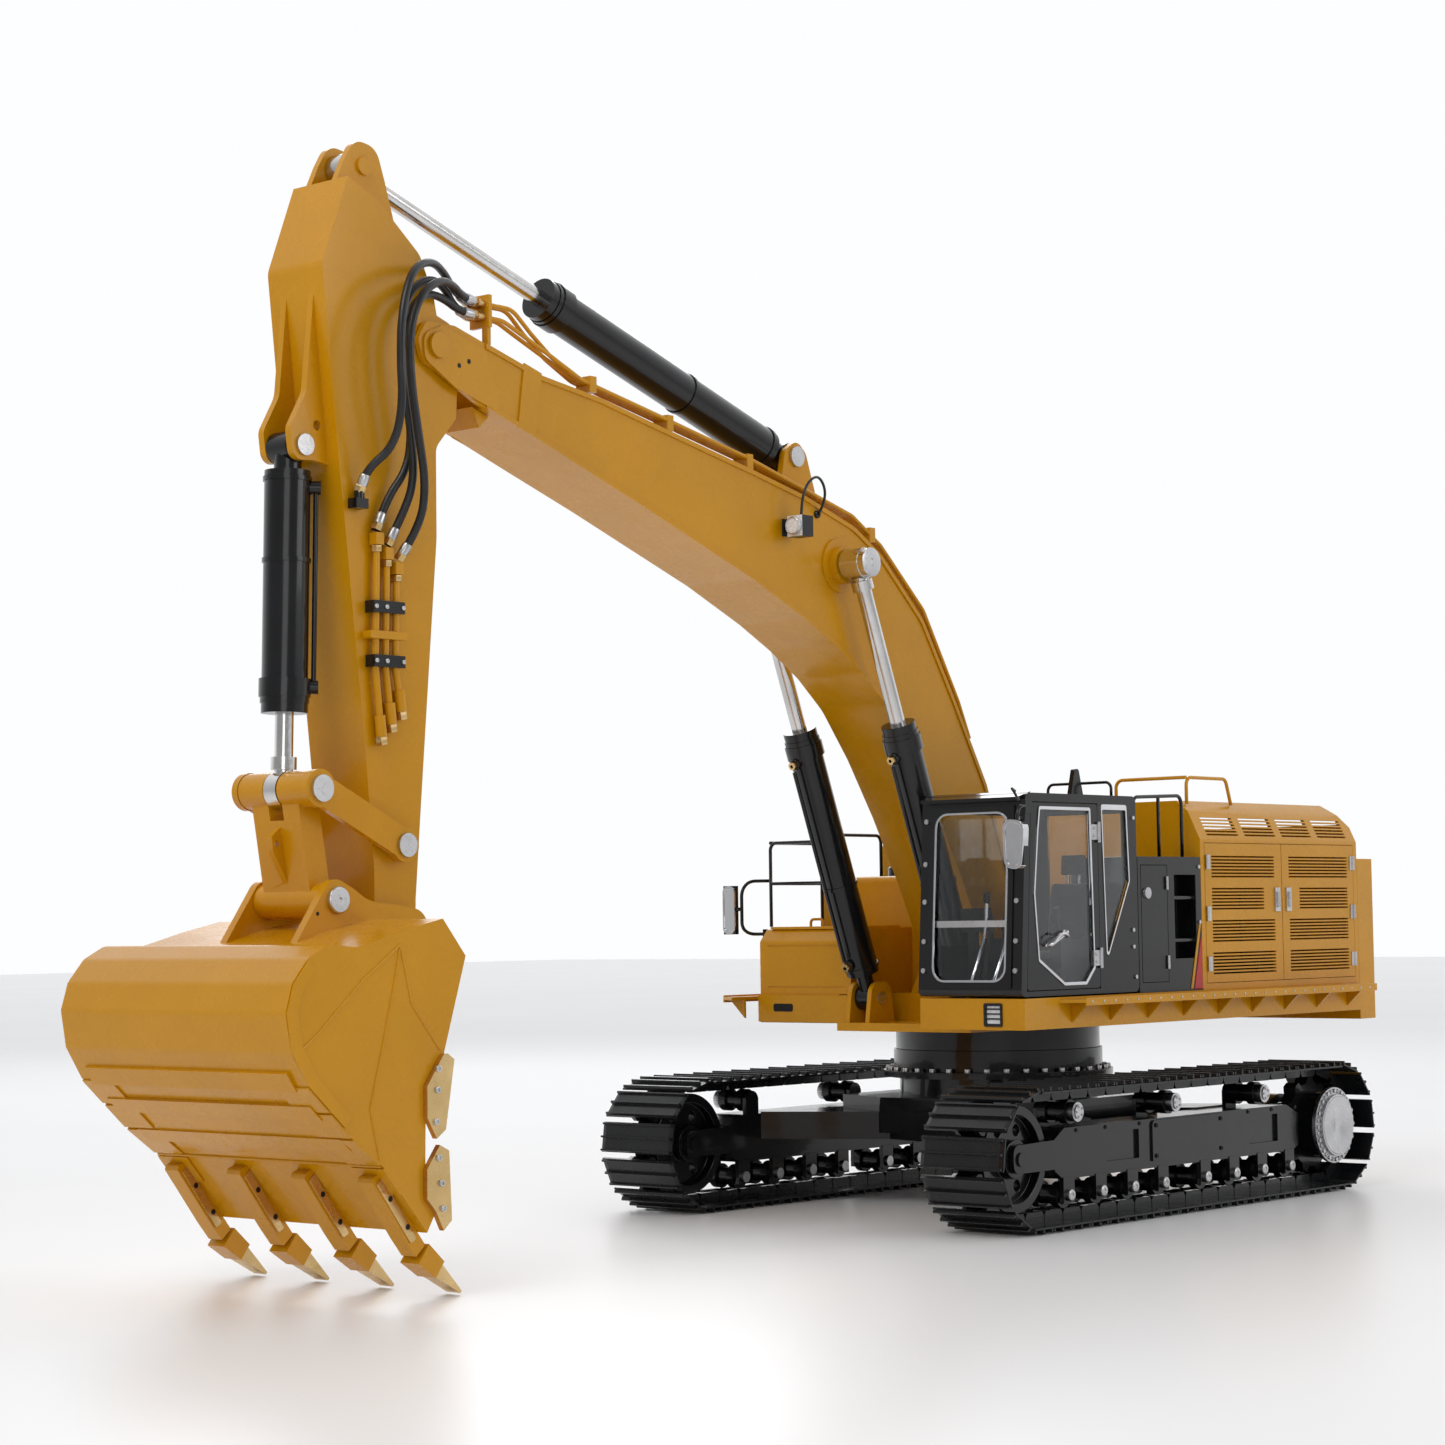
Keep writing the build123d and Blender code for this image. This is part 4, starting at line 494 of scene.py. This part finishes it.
def smooth_line(points, steps=10, order=3):
    """Points along a NURBS curve whose control points are the given ones, mm."""
    c = bpy.data.curves.new("line", "CURVE")
    c.dimensions = "3D"
    c.resolution_u = steps
    sp = c.splines.new("NURBS")
    sp.points.add(len(points) - 1)
    for p, q in zip(sp.points, points):
        p.co = (*q, 1)
    sp.order_u = order
    sp.use_endpoint_u = True
    o = bpy.data.objects.new("line", c)
    bpy.context.scene.collection.objects.link(o)
    mesh = bpy.data.meshes.new_from_object(o)
    out = [v.co.copy() for v in mesh.vertices]
    bpy.data.objects.remove(o)
    bpy.data.meshes.remove(mesh)
    return out


def rounded(corners, r, n=5):
    """Outline with each corner turned at radius r."""
    out = []
    count = len(corners)
    for i, c in enumerate(corners):
        here = Vector(c)
        a = (Vector(corners[i - 1]) - here).normalized()
        b = (Vector(corners[(i + 1) % count]) - here).normalized()
        half = a.angle(b) / 2
        reach = min(r / math.tan(half), 0.45 * (Vector(corners[i - 1]) - here).length,
                    0.45 * (Vector(corners[(i + 1) % count]) - here).length)
        rr = reach * math.tan(half)
        centre = here + (a + b).normalized() * (rr / math.sin(half))
        s, e = here + a * reach - centre, here + b * reach - centre
        angle = s.angle_signed(e) if s.length > 1e-6 else 0
        for k in range(n + 1):
            t = -angle * k / n
            out.append((centre.x + s.x * math.cos(t) - s.y * math.sin(t),
                        centre.y + s.x * math.sin(t) + s.y * math.cos(t)))
    return out


def grown(points, by):
    cx = (max(p[0] for p in points) + min(p[0] for p in points)) / 2
    cz = (max(p[1] for p in points) + min(p[1] for p in points)) / 2
    reach = min(max(p[0] for p in points) - cx, max(p[1] for p in points) - cz)
    k = (reach + by) / reach
    return [(cx + (x - cx) * k, cz + (z - cz) * k) for x, z in points]


# -------------------------------------------------------------------- hoses
ARM_HOSES = {
    "outer": [(477.2, 20.0, 492), (489, 20.4, 492.6), (503, 23.0, 497), (519, 27.0, 497),
              (532, 29.4, 487), (538, 30.0, 470), (536, 30.0, 448), (532, 29.4, 424),
              (534, 28.2, 405), (546, 25.4, 389), (551, 23.8, 374.6)],
    "upper": [(477.2, 20.0, 499), (489, 22.5, 500), (503, 30.0, 503), (519, 37.0, 502),
              (536, 41.0, 492), (545, 42.0, 472), (544, 42.0, 446), (538, 41.0, 420),
              (531.5, 39.0, 396), (530, 33.0, 376), (536.6, 25.0, 360.6)],
    "middle": [(477.2, 15.4, 492), (488, 15.6, 494.6), (503, 24.0, 503), (521, 30.0, 504),
               (537, 32.4, 493), (544, 34.0, 474), (542, 34.6, 448), (537.5, 34.6, 424),
               (534, 33.4, 399), (537.5, 28.6, 382), (543.6, 24.4, 367.6)],
    "lower": [(477.2, 15.4, 499), (489, 16.5, 503), (503, 24.0, 510), (522, 34.0, 512),
              (542, 42.0, 504), (553, 46.0, 484), (556, 47.0, 458), (553, 45.6, 433),
              (553, 38.6, 413), (562, 28.0, 402), (562.6, 24.4, 392.6)],
}
for name, route in ARM_HOSES.items():
    line = smooth_line(route)
    hose = Piece("arm_hose_" + name, RUBBER, BRASS)
    hose.pipe(line, 2.1, 16)
    o = hose.done(None, 0)
    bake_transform(o)
    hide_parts("arm_hoses")
    ends = Piece("hose_collars_boom_" + name, BRASS, STEEL)
    d = (line[3] - line[0]).normalized()
    ends.hexagon(line[0] - d * 0.4, d, 3.0, 3.0, 2.15).use(1)
    ends.turned(line[0] + d * 2.4, d, [(2.15, 0), (2.75, 0.2), (2.75, 5.4), (2.3, 6.4), (2.12, 6.4)], 16)
    ends.done("boom", 0.1)
    ends = Piece("hose_collars_arm_" + name, BRASS, STEEL)
    d = (line[-4] - line[-1]).normalized()
    ends.hexagon(line[-1] - d * 1.4, d, 3.0, 3.6, 2.15).use(1)
    ends.turned(line[-1] + d * 2.0, d, [(2.15, 0), (2.7, 0.2), (2.7, 5.0), (2.3, 6.0), (2.12, 6.0)], 16)
    ends.done("arm", 0.1)

LIGHT_WIRE = [(230, 34.5, 408.3), (230.5, 35.5, 418), (226, 36.5, 428), (216.5, 36, 433),
              (207.5, 34, 428), (203.5, 31, 419.5), (203, 25.6, 412.5)]
line = smooth_line(LIGHT_WIRE)
wire = Piece("lamp_wire", RUBBER)
wire.pipe(line, 0.8, 14)
o = wire.done("boom", 0)
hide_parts("light_wire")

# ------------------------------------------------------------ operator seat
seat = Piece("seat_cushions", FABRIC, PLASTIC)


def cushion(piece, centre, half, lean=0.0, crown=2.2):
    """Crowned pad: a grid block whose faces bulge and whose sides pull in at the seams."""
    n = 6
    verts = {}
    for i in range(n + 1):
        for j in range(n + 1):
            for k in (0, 1, 2):
                u, v = 2 * i / n - 1, 2 * j / n - 1
                soft = (1 - u ** 4) * (1 - v ** 4)
                w = k - 1
                pull = 1 - 0.05 * (1 - abs(w)) * (1 - soft)
                x = half[0] * u * (1 - 0.03 * (1 - v * v)) * (1.0 if w == 0 else 0.95) * pull
                y = half[1] * v * (1 - 0.03 * (1 - u * u)) * (1.0 if w == 0 else 0.95) * pull
                z = w * (half[2] * 0.72 + crown * soft)
                c, s = math.cos(lean), math.sin(lean)
                verts[i, j, k] = piece.bm.verts.new((centre[0] + x * c - z * s, centre[1] + y,
                                                      centre[2] + x * s + z * c))
    for i in range(n):
        for j in range(n):
            for k in (0, 2):
                piece.face([verts[i, j, k], verts[i + 1, j, k], verts[i + 1, j + 1, k], verts[i, j + 1, k]])
    for k in (0, 1):
        for i in range(n):
            piece.face([verts[i, 0, k], verts[i + 1, 0, k], verts[i + 1, 0, k + 1], verts[i, 0, k + 1]])
            piece.face([verts[i, n, k], verts[i + 1, n, k], verts[i + 1, n, k + 1], verts[i, n, k + 1]])
            piece.face([verts[0, i, k], verts[0, i + 1, k], verts[0, i + 1, k + 1], verts[0, i, k + 1]])
            piece.face([verts[n, i, k], verts[n, i + 1, k], verts[n, i + 1, k + 1], verts[n, i, k + 1]])


cushion(seat, (67, 88, 151), (18.5, 15.5, 4.6))
cushion(seat, (47, 88, 175.5), (22.5, 14.5, 4.4), math.radians(99))
cushion(seat, (41.4, 88, 207.5), (6.4, 8.6, 3.2), math.radians(95), 1.2)
pads = seat.done("house", 0, 2)
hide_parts("operator_seat")
base = Piece("seat_base", PLASTIC, STEEL)
base.plate(rounded([(52, 133.8), (82, 133.8), (79, 146), (55, 146)], 3), 75, 101)
base.plate(rounded([(48, 145), (86, 145), (86, 148), (48, 148)], 1), 73, 103).use(1)
for y in (84, 92):
    base.pipe([(41.5, y, 196), (41.3, y, 203)], 1.1)
base.done("house", 0.4)

# ---------------------------------------------------------------- bucket
bk = Piece("bucket_wear_parts", YELLOW, STEEL, PAINTED_SHADE, BRASS)


def strap(piece, x0, z0, x1, z1, y0, y1, up, out):
    """Plate lying on the shell between two outline points, standing `out` proud."""
    d = Vector((x1 - x0, z1 - z0)).normalized()
    n = Vector((d[1], -d[0])) * up
    piece.plate([(x0, z0), (x1, z1), (x1 + n[0] * out, z1 + n[1] * out), (x0 + n[0] * out, z0 + n[1] * out)],
                y0, y1)


# corner wear pads along both edges of the shell, with gaps between
for sg in (1, -1):
    for (xa, za), (xb, zb) in (((650.0, 104.0), (637.5, 92.4)), ((636.2, 91.2), (624.0, 79.9)),
                               ((622.6, 78.7), (605.6, 66.2)), ((603.4, 64.2), (592.6, 51.5))):
        y0, y1 = sorted((sg * 60, sg * 82.4))
        strap(bk, xa, za, xb, zb, y0, y1, -1, 1.0)
# weld bead across the shell above the blade, and along the side plates
bk.pipe([(604.6, y, 65.0) for y in (-81, -40, 0, 40, 81)], 0.9, 8)
for y in (82.0, -82.0):
    bk.pipe([(592, y, 168), (596, y, 150), (604, y, 120), (612, y, 92), (606, y, 68)], 0.7, 8)
    bk.pipe([(592, y, 168), (616, y, 152), (644, y, 128), (656, y, 120)], 0.7, 8)
    bk.pipe([(567, y, 118), (585, y, 140), (592, y, 168)], 0.7, 8)
# heel strip along the rear edge of the side plates
for y0, y1 in ((81.9, 83.1), (-83.1, -81.9)):
    bk.plate([(628, 84), (650.5, 104.6), (660, 120), (663, 138), (659, 151), (650, 161.5),
              (645.5, 158), (653.5, 148), (656.5, 137.5), (653.5, 122.5), (645.5, 109),
              (624.5, 89.5)], y0, y1)
# screw holes in the ears as near-black discs of painted shade, and silver pin caps
for y, d in ((28.2, 1), (-28.2, -1)):
    for (px, pz), r in ((BP, 7.0), (R, 6.6)):
        cap = [(r, -1.4), (r, 0.3), (r - 0.6, 0.9), (1.2, 0.9), (1.0, 0.3), (0, 0.3)]
        bk.use(1).turned((px, y + d * 1.8, pz), (0, d, 0), cap, 32)
    bk.use(2).turned((R[0] + 12.5, y, R[1] - 6.5), (0, d, 0), [(1.1, -0.1), (1.1, 0.12), (0, 0.12)], 12)
    bk.use(2).turned((BP[0] - 9, y, BP[1] + 10), (0, d, 0), [(1.1, -0.1), (1.1, 0.12), (0, 0.12)], 12)
# screws of the side cutters
for sg in (1, -1):
    for x, z in ((571, 109), (571.5, 99), (572.5, 84), (571, 67), (569.5, 55), (568.5, 43)):
        bk.use(1).screw((x, sg * 85.0, z), (0, sg, 0), 1.7, 1.2)
# adapters: brass strap on each flank, with its pin holes as near-black discs of painted shade
for y in (-70.5, -23.5, 23.5, 70.5):
    for sg in (1, -1):
        outline = rounded([(577, 29), (581, 27), (602.5, 56), (599, 59.5)], 1.2)
        bk.use(3).plate(outline, y + sg * 4.9, y + sg * 5.7)
        for x, z in ((583, 35), (594, 49)):
            bk.use(2).turned((x, y + sg * 5.7, z), (0, sg, 0), [(1.5, -0.1), (1.5, 0.12), (0, 0.12)], 16)
bk.done("bucket", 0.25)

# ----------------------------------------------------------- undercarriage
for side, sg in (("left", 1), ("right", -1)):
    hub = Piece("hub_bolts_" + side, STEEL)
    for i in range(16):
        a = 2 * math.pi * (i + 0.5) / 16
        hub.screw((-AX + 21.6 * math.cos(a), sg * 143.3, WZ + 21.6 * math.sin(a)), (0, sg, 0), 1.35, 1.1)
    cover = [(18.6, 0), (18.2, 0.5), (6, 0.5), (5.4, 0.2), (0, 0.2)]
    hub.turned((-AX, sg * 145.9, WZ), (0, sg, 0), cover, 48)
    hub.done("sprocket_" + side, 0.1)
    uc = Piece("track_frame_bolts_" + side, STEEL, BLACK)
    for x in (121, 88, 55, 22, -25, -58, -91, -124):
        washer = [(3.3, 0), (3.3, 0.4), (2.7, 0.8), (1.3, 0.8), (1.1, 0.3), (0, 0.3)]
        uc.use(0).turned((x, sg * 137.0, 17.7), (0, sg, 0), washer, 20)
    for x in (-42, 30):
        for z in (34, 52):
            uc.use(1).screw((x, sg * 136.0, z), (0, sg, 0), 1.3, 1.0)
    for x in (-132, -104, -76, 46, 82, 112):
        uc.use(1).screw((x, sg * 134.8, 54), (0, sg, 0), 1.2, 0.8)
    uc.done("undercarriage", 0.15)
    for i, x in enumerate((112, 8, -94)):
        rl = Piece("carrier_cap_bolts_%s_%d" % (side, i + 1), STEEL)
        for k in range(5):
            a = 2 * math.pi * k / 5
            rl.screw((x + 3.0 * math.cos(a), sg * 137.35, 64.5 + 3.0 * math.sin(a)), (0, sg, 0), 0.7, 0.6)
        rl.done("carrier_roller_%s_%d" % (side, i + 1), 0)

# --------------------------------------------------------------------- cab
def nose(z):
    return 149 - 8 * (z - 131) / 117


cab = Piece("cab_trim", BLACK, CHROME, STEEL, PLASTIC)
screen_out = rounded([(58, 136), (117.5, 136), (117.5, 241), (58, 241)], 1)
screen_in = rounded([(62, 140), (113.5, 140), (113.5, 237), (62, 237)], 8)
cab.ring(screen_out, screen_in, 0.05, 1.0, lambda y, z, w: (nose(z) + w, y, z))
cab.use(1).ring(rounded([(61.4, 139.4), (114.1, 139.4), (114.1, 237.6), (61.4, 237.6)], 8.6),
                rounded([(62.6, 140.6), (112.9, 140.6), (112.9, 236.4), (62.6, 236.4)], 7.6),
                0.9, 1.5, lambda y, z, w: (nose(z) + w, y, z))
DOOR_PANE = [(128, 239), (77, 239), (75, 147), (84, 138), (106, 138), (131, 152), (134.5, 190), (130, 227)]
REAR_PANE = [(64, 240), (38.5, 240), (36.5, 197), (61, 152)]
cab.ring(rounded(grown(REAR_PANE, 0.8), 1.5, 3), rounded(grown(REAR_PANE, -0.2), 1.0, 3), 124.5, 125.1)
# levers in front of the seat, seen through the lower pane
for y in (80, 96):
    lever = [(138, y, 136), (128, y - 1, 150), (121, y + 1, 168), (119, y, 186)]
    cab.use(1).pipe(smooth_line(lever, 6), 1.0, 10)
    cab.use(3).turned((119, y, 184), (-0.1, 0, 1), [(0.4, 0), (1.9, 1.5), (2.1, 5), (1.2, 7.5), (0, 8)], 14)
stay = [(150, 126, 243), (152, 124.5, 248), (150.5, 121, 251), (142, 118, 249)]
cab.use(0).pipe(smooth_line(stay, 8), 0.8, 8)
cab.done("house", 0.12)
dt = Piece("cab_door_trim", CHROME, STEEL, BLACK)
dt.ring(rounded(grown(DOOR_PANE, 0.8), 1.5, 3), rounded(grown(DOOR_PANE, -0.3), 1.2, 3), 124.5, 125.2)
handle = [(123, 125, 160), (123, 129, 160.4), (114, 129.4, 168), (105, 129, 165), (105, 125, 165)]
dt.use(0).pipe(smooth_line(handle, 8), 0.8, 10)
dt.use(1)
for z in (152, 226):
    dt.screw((73.4, 125.5, z + 2.2), (0, 1, 0), 0.9, 0.5)
    dt.screw((73.4, 125.5, z - 2.2), (0, 1, 0), 0.9, 0.5)
dt.done("cab_door", 0.1)

# ----------------------------------------------------------------- mirrors
def across(y, z, w):
    """Puts an outline drawn in YZ at the station w along X."""
    return w, y, z


mr = Piece("mirror_faces", CHROME, MIRROR, BLACK)
LEFT_RIM = rounded([(120, 205), (132, 203), (134, 231), (119, 233)], 5)
LEFT_FACE = rounded([(121.6, 207), (130.6, 205.2), (132.4, 229.4), (120.8, 231)], 4.2)
RIGHT_RIM = rounded([(-150, 168.4), (-140, 168.4), (-140, 198.6), (-150, 198.6)], 3.6)
RIGHT_FACE = rounded([(-149, 170), (-141, 170), (-141, 197), (-149, 197)], 3)
mr.ring(LEFT_RIM, LEFT_FACE, 151.4, 157.0, across)
mr.use(1).plate(LEFT_FACE, 151.8, 151.4, across)
mr.use(0).plate(LEFT_FACE, 156.2, 156.6, across)
mr.use(1).plate(RIGHT_FACE, 89.0, 89.5, across)
mr.use(0).ring(RIGHT_RIM, RIGHT_FACE, 88.6, 90.0, across)
mr.done("house", 0.2)

# ------------------------------------------------------------------- house
hs = Piece("house_hardware", YELLOW, BLACK, STEEL, RED, LENS, PAINTED_SHADE)
# screws along the walkway's edge and the deck's side beam
for x in range(-226, 100, 12):
    hs.use(2).turned((x, 138.5, 127.3), (0, 1, 0), [(0.75, 0), (0.75, 0.3), (0.5, 0.5), (0, 0.5)], 10)
# nose lamp of the left front panel: housing, lens and three bars
LAMP_RIM = rounded([(96, 114), (109, 114), (109, 127.4), (96, 127.4)], 1)
LAMP_MOUTH = rounded([(97.4, 115.4), (107.6, 115.4), (107.6, 126), (97.4, 126)], 0.8)
LAMP_LENS = rounded([(97.6, 115.6), (107.4, 115.6), (107.4, 125.8), (97.6, 125.8)], 0.8)
hs.use(1).ring(LAMP_RIM, LAMP_MOUTH, 145.0, 146.8, across)
hs.use(4).plate(LAMP_LENS, 145.2, 145.6, across)
for z in (118.0, 120.8, 123.6):
    hs.use(1).plate([(97, z), (108, z), (108, z + 0.9), (97, z + 0.9)], 145.5, 146.4, across)
# second light slot of the right front apron, as a thin near-black sheet of painted shade
slot = rounded([(-112, 119), (-96, 119), (-96, 124), (-112, 124)], 1.5)
hs.use(5).plate(slot, 86.0, 86.15, across)
# yellow stripe beside the red one
hs.use(0).plate([(-44.0, 131), (-43.4, 131), (-43.4, 168), (-44.0, 168)], 124.5, 125.0)
hs.use(0).plate([(-32.4, 131.4), (-30, 131.4), (-41.2, 172), (-43.0, 172)], 124.5, 125.0)
# filler caps on the tank housing and the hood
filler = [(8.2, 0), (8.2, 1.0), (7.2, 2.0), (2.4, 2.0), (2.0, 3.2), (0, 3.4)]
hs.use(1).turned((-12, -84, 208.5), (0, 0, 1), filler, 32)
hs.use(1).turned((-120, -64, 247.5), (0, 0, 1), [(7, 0), (7, 9), (5.6, 10.5), (5.6, 3), (0, 3)], 28)
hs.use(2)
for sx in (-232, -60):
    for sy in (-100, -50, 0, 50, 100):
        hs.turned((sx, sy, 247.4), (0, 0, 1), [(1.2, 0), (1.2, 0.5), (0.8, 0.8), (0, 0.8)], 12)
hs.done("house", 0.2)

# -------------------------------------------------------- boom and cylinders
bm_ = Piece("boom_hardware", YELLOW, BRASS, STEEL, PAINTED_SHADE, BLACK)
# weld seam band across the boom behind its nose, and the stop wedge under it
for y in (24.0, -24.0):
    bm_.use(0).pipe([(438, y, 433), (433.5, y, 466)], 0.8, 8)
bm_.plate([(466, 440.5), (478, 444.5), (473, 434)], -18, 18)
# two small holes on each side of the boom, drawn as near-black discs of painted shade
for y0, d in ((25.1, 1), (-25.1, -1)):
    bm_.use(3)
    for x, z in ((494, 463), (487, 466)):
        bm_.turned((x, y0, z), (0, d, 0), [(1.5, -0.1), (1.5, 0.12), (0, 0.12)], 14)
bm_.use(2)
for y, d in ((31.4, 1), (-31.4, -1)):
    bm_.turned((FOOT[0], y, FOOT[1]), (0, d, 0), [(8.0, 0), (8.0, 1.2), (7.2, 1.8), (0, 1.8)], 30)
# lens rim of the work lamp
rim = [(5.2, -1.4), (5.2, 0.4), (4.7, 0.8), (4.3, 0.4), (4.3, -0.6)]
bm_.use(2).turned((238.0, 34.5, 402), (1, 0, 0), rim, 28)
# grommet and gland of the lamp's wire
bm_.use(4).turned((203, 23.9, 412.5), (0, 1, 0), [(2.4, 0), (2.4, 1.0), (1.9, 1.8), (0.9, 1.8)], 18)
bm_.use(4).turned((230, 34.5, 406.6), (0, 0.05, 1), [(1.8, 0), (1.8, 1.6), (1.1, 2.6), (0.8, 2.6)], 18)
bm_.done("boom", 0.2)

for side, sg in (("left", 1), ("right", -1)):
    cc = Piece("boom_rod_cap_" + side, STEEL)
    cap = [(8.6, -0.2), (8.4, 0.3), (7.6, 0.5), (2.2, 0.5), (1.8, 0.0), (0, 0.0)]
    cc.turned((H[0], sg * 48.35, H[1]), (0, sg, 0), cap, 40)
    cc.done("boom_rod_" + side, 0.1)
    bb = Piece("boom_barrel_fittings_" + side, BLACK, BRASS, STEEL)
    ux, uz = (H[0] - G[0]) / BOOM_CYL_LENGTH, (H[1] - G[1]) / BOOM_CYL_LENGTH
    cy = sg * BOOM_CYL_Y
    for t in (26, 158):
        x, z = G[0] + ux * t, G[1] + uz * t
        port = [(3.6, 0), (3.6, 4.0), (3.2, 4.4), (0, 4.4)]
        bb.use(0).turned((x + uz * 8.5, cy, z - ux * 8.5), (uz, 0, -ux), port, 20)
        bb.use(1).hexagon((x + uz * 12.6, cy, z - ux * 12.6), (uz, 0, -ux), 2.8, 3.2, 1.2)
    line = [(G[0] + ux * t + uz * 14.6, cy, G[1] + uz * t - ux * 14.6) for t in (30, 70, 110, 154)]
    bb.use(0).pipe(line, 1.3, 10)
    bb.use(2)
    for k in range(0, 6, 2):
        a = math.pi * k / 3
        s = Vector((uz, 0, -ux)) * math.cos(a) + Vector((0, 1, 0)) * math.sin(a)
        p = Vector((G[0] + ux * 171.2, cy, G[1] + uz * 171.2)) + s * 7.6
        bb.screw(p, (ux, 0, uz), 1.1, 1.0)
    bb.done("boom_barrel_" + side, 0.15)

ab = Piece("arm_pipe_fittings", BRASS, STEEL, BLACK, YELLOW)
for i, (x, z) in enumerate(((551.0, 368.0), (544.3, 361.0), (537.6, 354.0))):
    low = 277 + 6.5 * i
    ab.use(0).hexagon((x, 23.7, z - 5.5), (0, 0, 1), 2.9, 3.4, 1.8)
    ab.use(0).hexagon((x - 2.9, 23.7, low - 10.5), (0.2, 0, 1), 3.3, 4.2, 1.5)
ab.use(1)
for z in (335, 308):
    for x in (536.4, 547.6, 554.6):
        ab.screw((x, 26.9, z), (0, 1, 0), 1.2, 0.9)
ab.use(3)
ab.plate(rounded([(533, 319), (558, 319), (558, 323), (533, 323)], 1), 20.3, 26.6)
ab.done("arm", 0.2)

# ------------------------------------------------------------------- studio
floor = Piece("studio_floor", None)
mf, tf, bf = tree("floor")
tint(tf, noise(tf, 2.0, 2), bf, (0.88, 0.88, 0.89), (0.91, 0.91, 0.92))
bf.inputs["Roughness"].default_value = 0.32
floor.mats = (mf,)
floor.plate([(-9000, -9000), (9000, -9000), (9000, 9000), (-9000, 9000)], -3, -0.3, lambda x, y, w: (x, y, w))
floor.done(None, 0)
world = bpy.data.worlds.new("studio")
bpy.context.scene.world = world
world.use_nodes = True
wt = world.node_tree
back = wt.nodes["Background"]
back.inputs["Color"].default_value = (0.985, 0.99, 1.0, 1)
# white cove behind the model, dimmer room in front of it
direction = wt.nodes.new("ShaderNodeTexCoord")
facing = wt.nodes.new("ShaderNodeVectorMath")
facing.operation = "DOT_PRODUCT"
facing.inputs[1].default_value = (-0.756, -0.652, 0.05)
link(wt, direction, "Generated", facing, "Vector")
level = wt.nodes.new("ShaderNodeMapRange")
level.interpolation_type = "SMOOTHSTEP"
level.inputs["From Min"].default_value = -0.35
level.inputs["From Max"].default_value = 0.6
level.inputs["To Min"].default_value = 0.34
level.inputs["To Max"].default_value = 1.0
link(wt, facing, "Value", level, "Value")
link(wt, level, "Result", back, "Strength")


def area(name, at, aim, size, power, color=(1, 1, 1), size_y=None):
    d = bpy.data.lights.new(name, "AREA")
    d.shape = "RECTANGLE"
    d.size, d.size_y = size, size_y or size
    d.energy = power
    d.color = color
    o = bpy.data.objects.new(name, d)
    o.location = at
    o.rotation_euler = (Vector(aim) - Vector(at)).to_track_quat("-Z", "Y").to_euler()
    bpy.context.scene.collection.objects.link(o)


area("key", (1.6, 0.2, 1.9), (0.1, 0, 0.2), 1.1, 16, (1, 0.985, 0.96))
area("side_left", (-0.7, 2.1, 1.0), (-0.1, 0, 0.2), 1.3, 8, size_y=0.8)
area("front_fill", (2.2, 1.9, 0.7), (0.2, 0, 0.2), 1.2, 5, size_y=0.8)
area("back_rim", (-1.4, -1.6, 1.6), (0, 0, 0.25), 1.2, 12)
bpy.context.scene.view_settings.view_transform = "Standard"
bpy.context.scene.view_settings.look = "None"
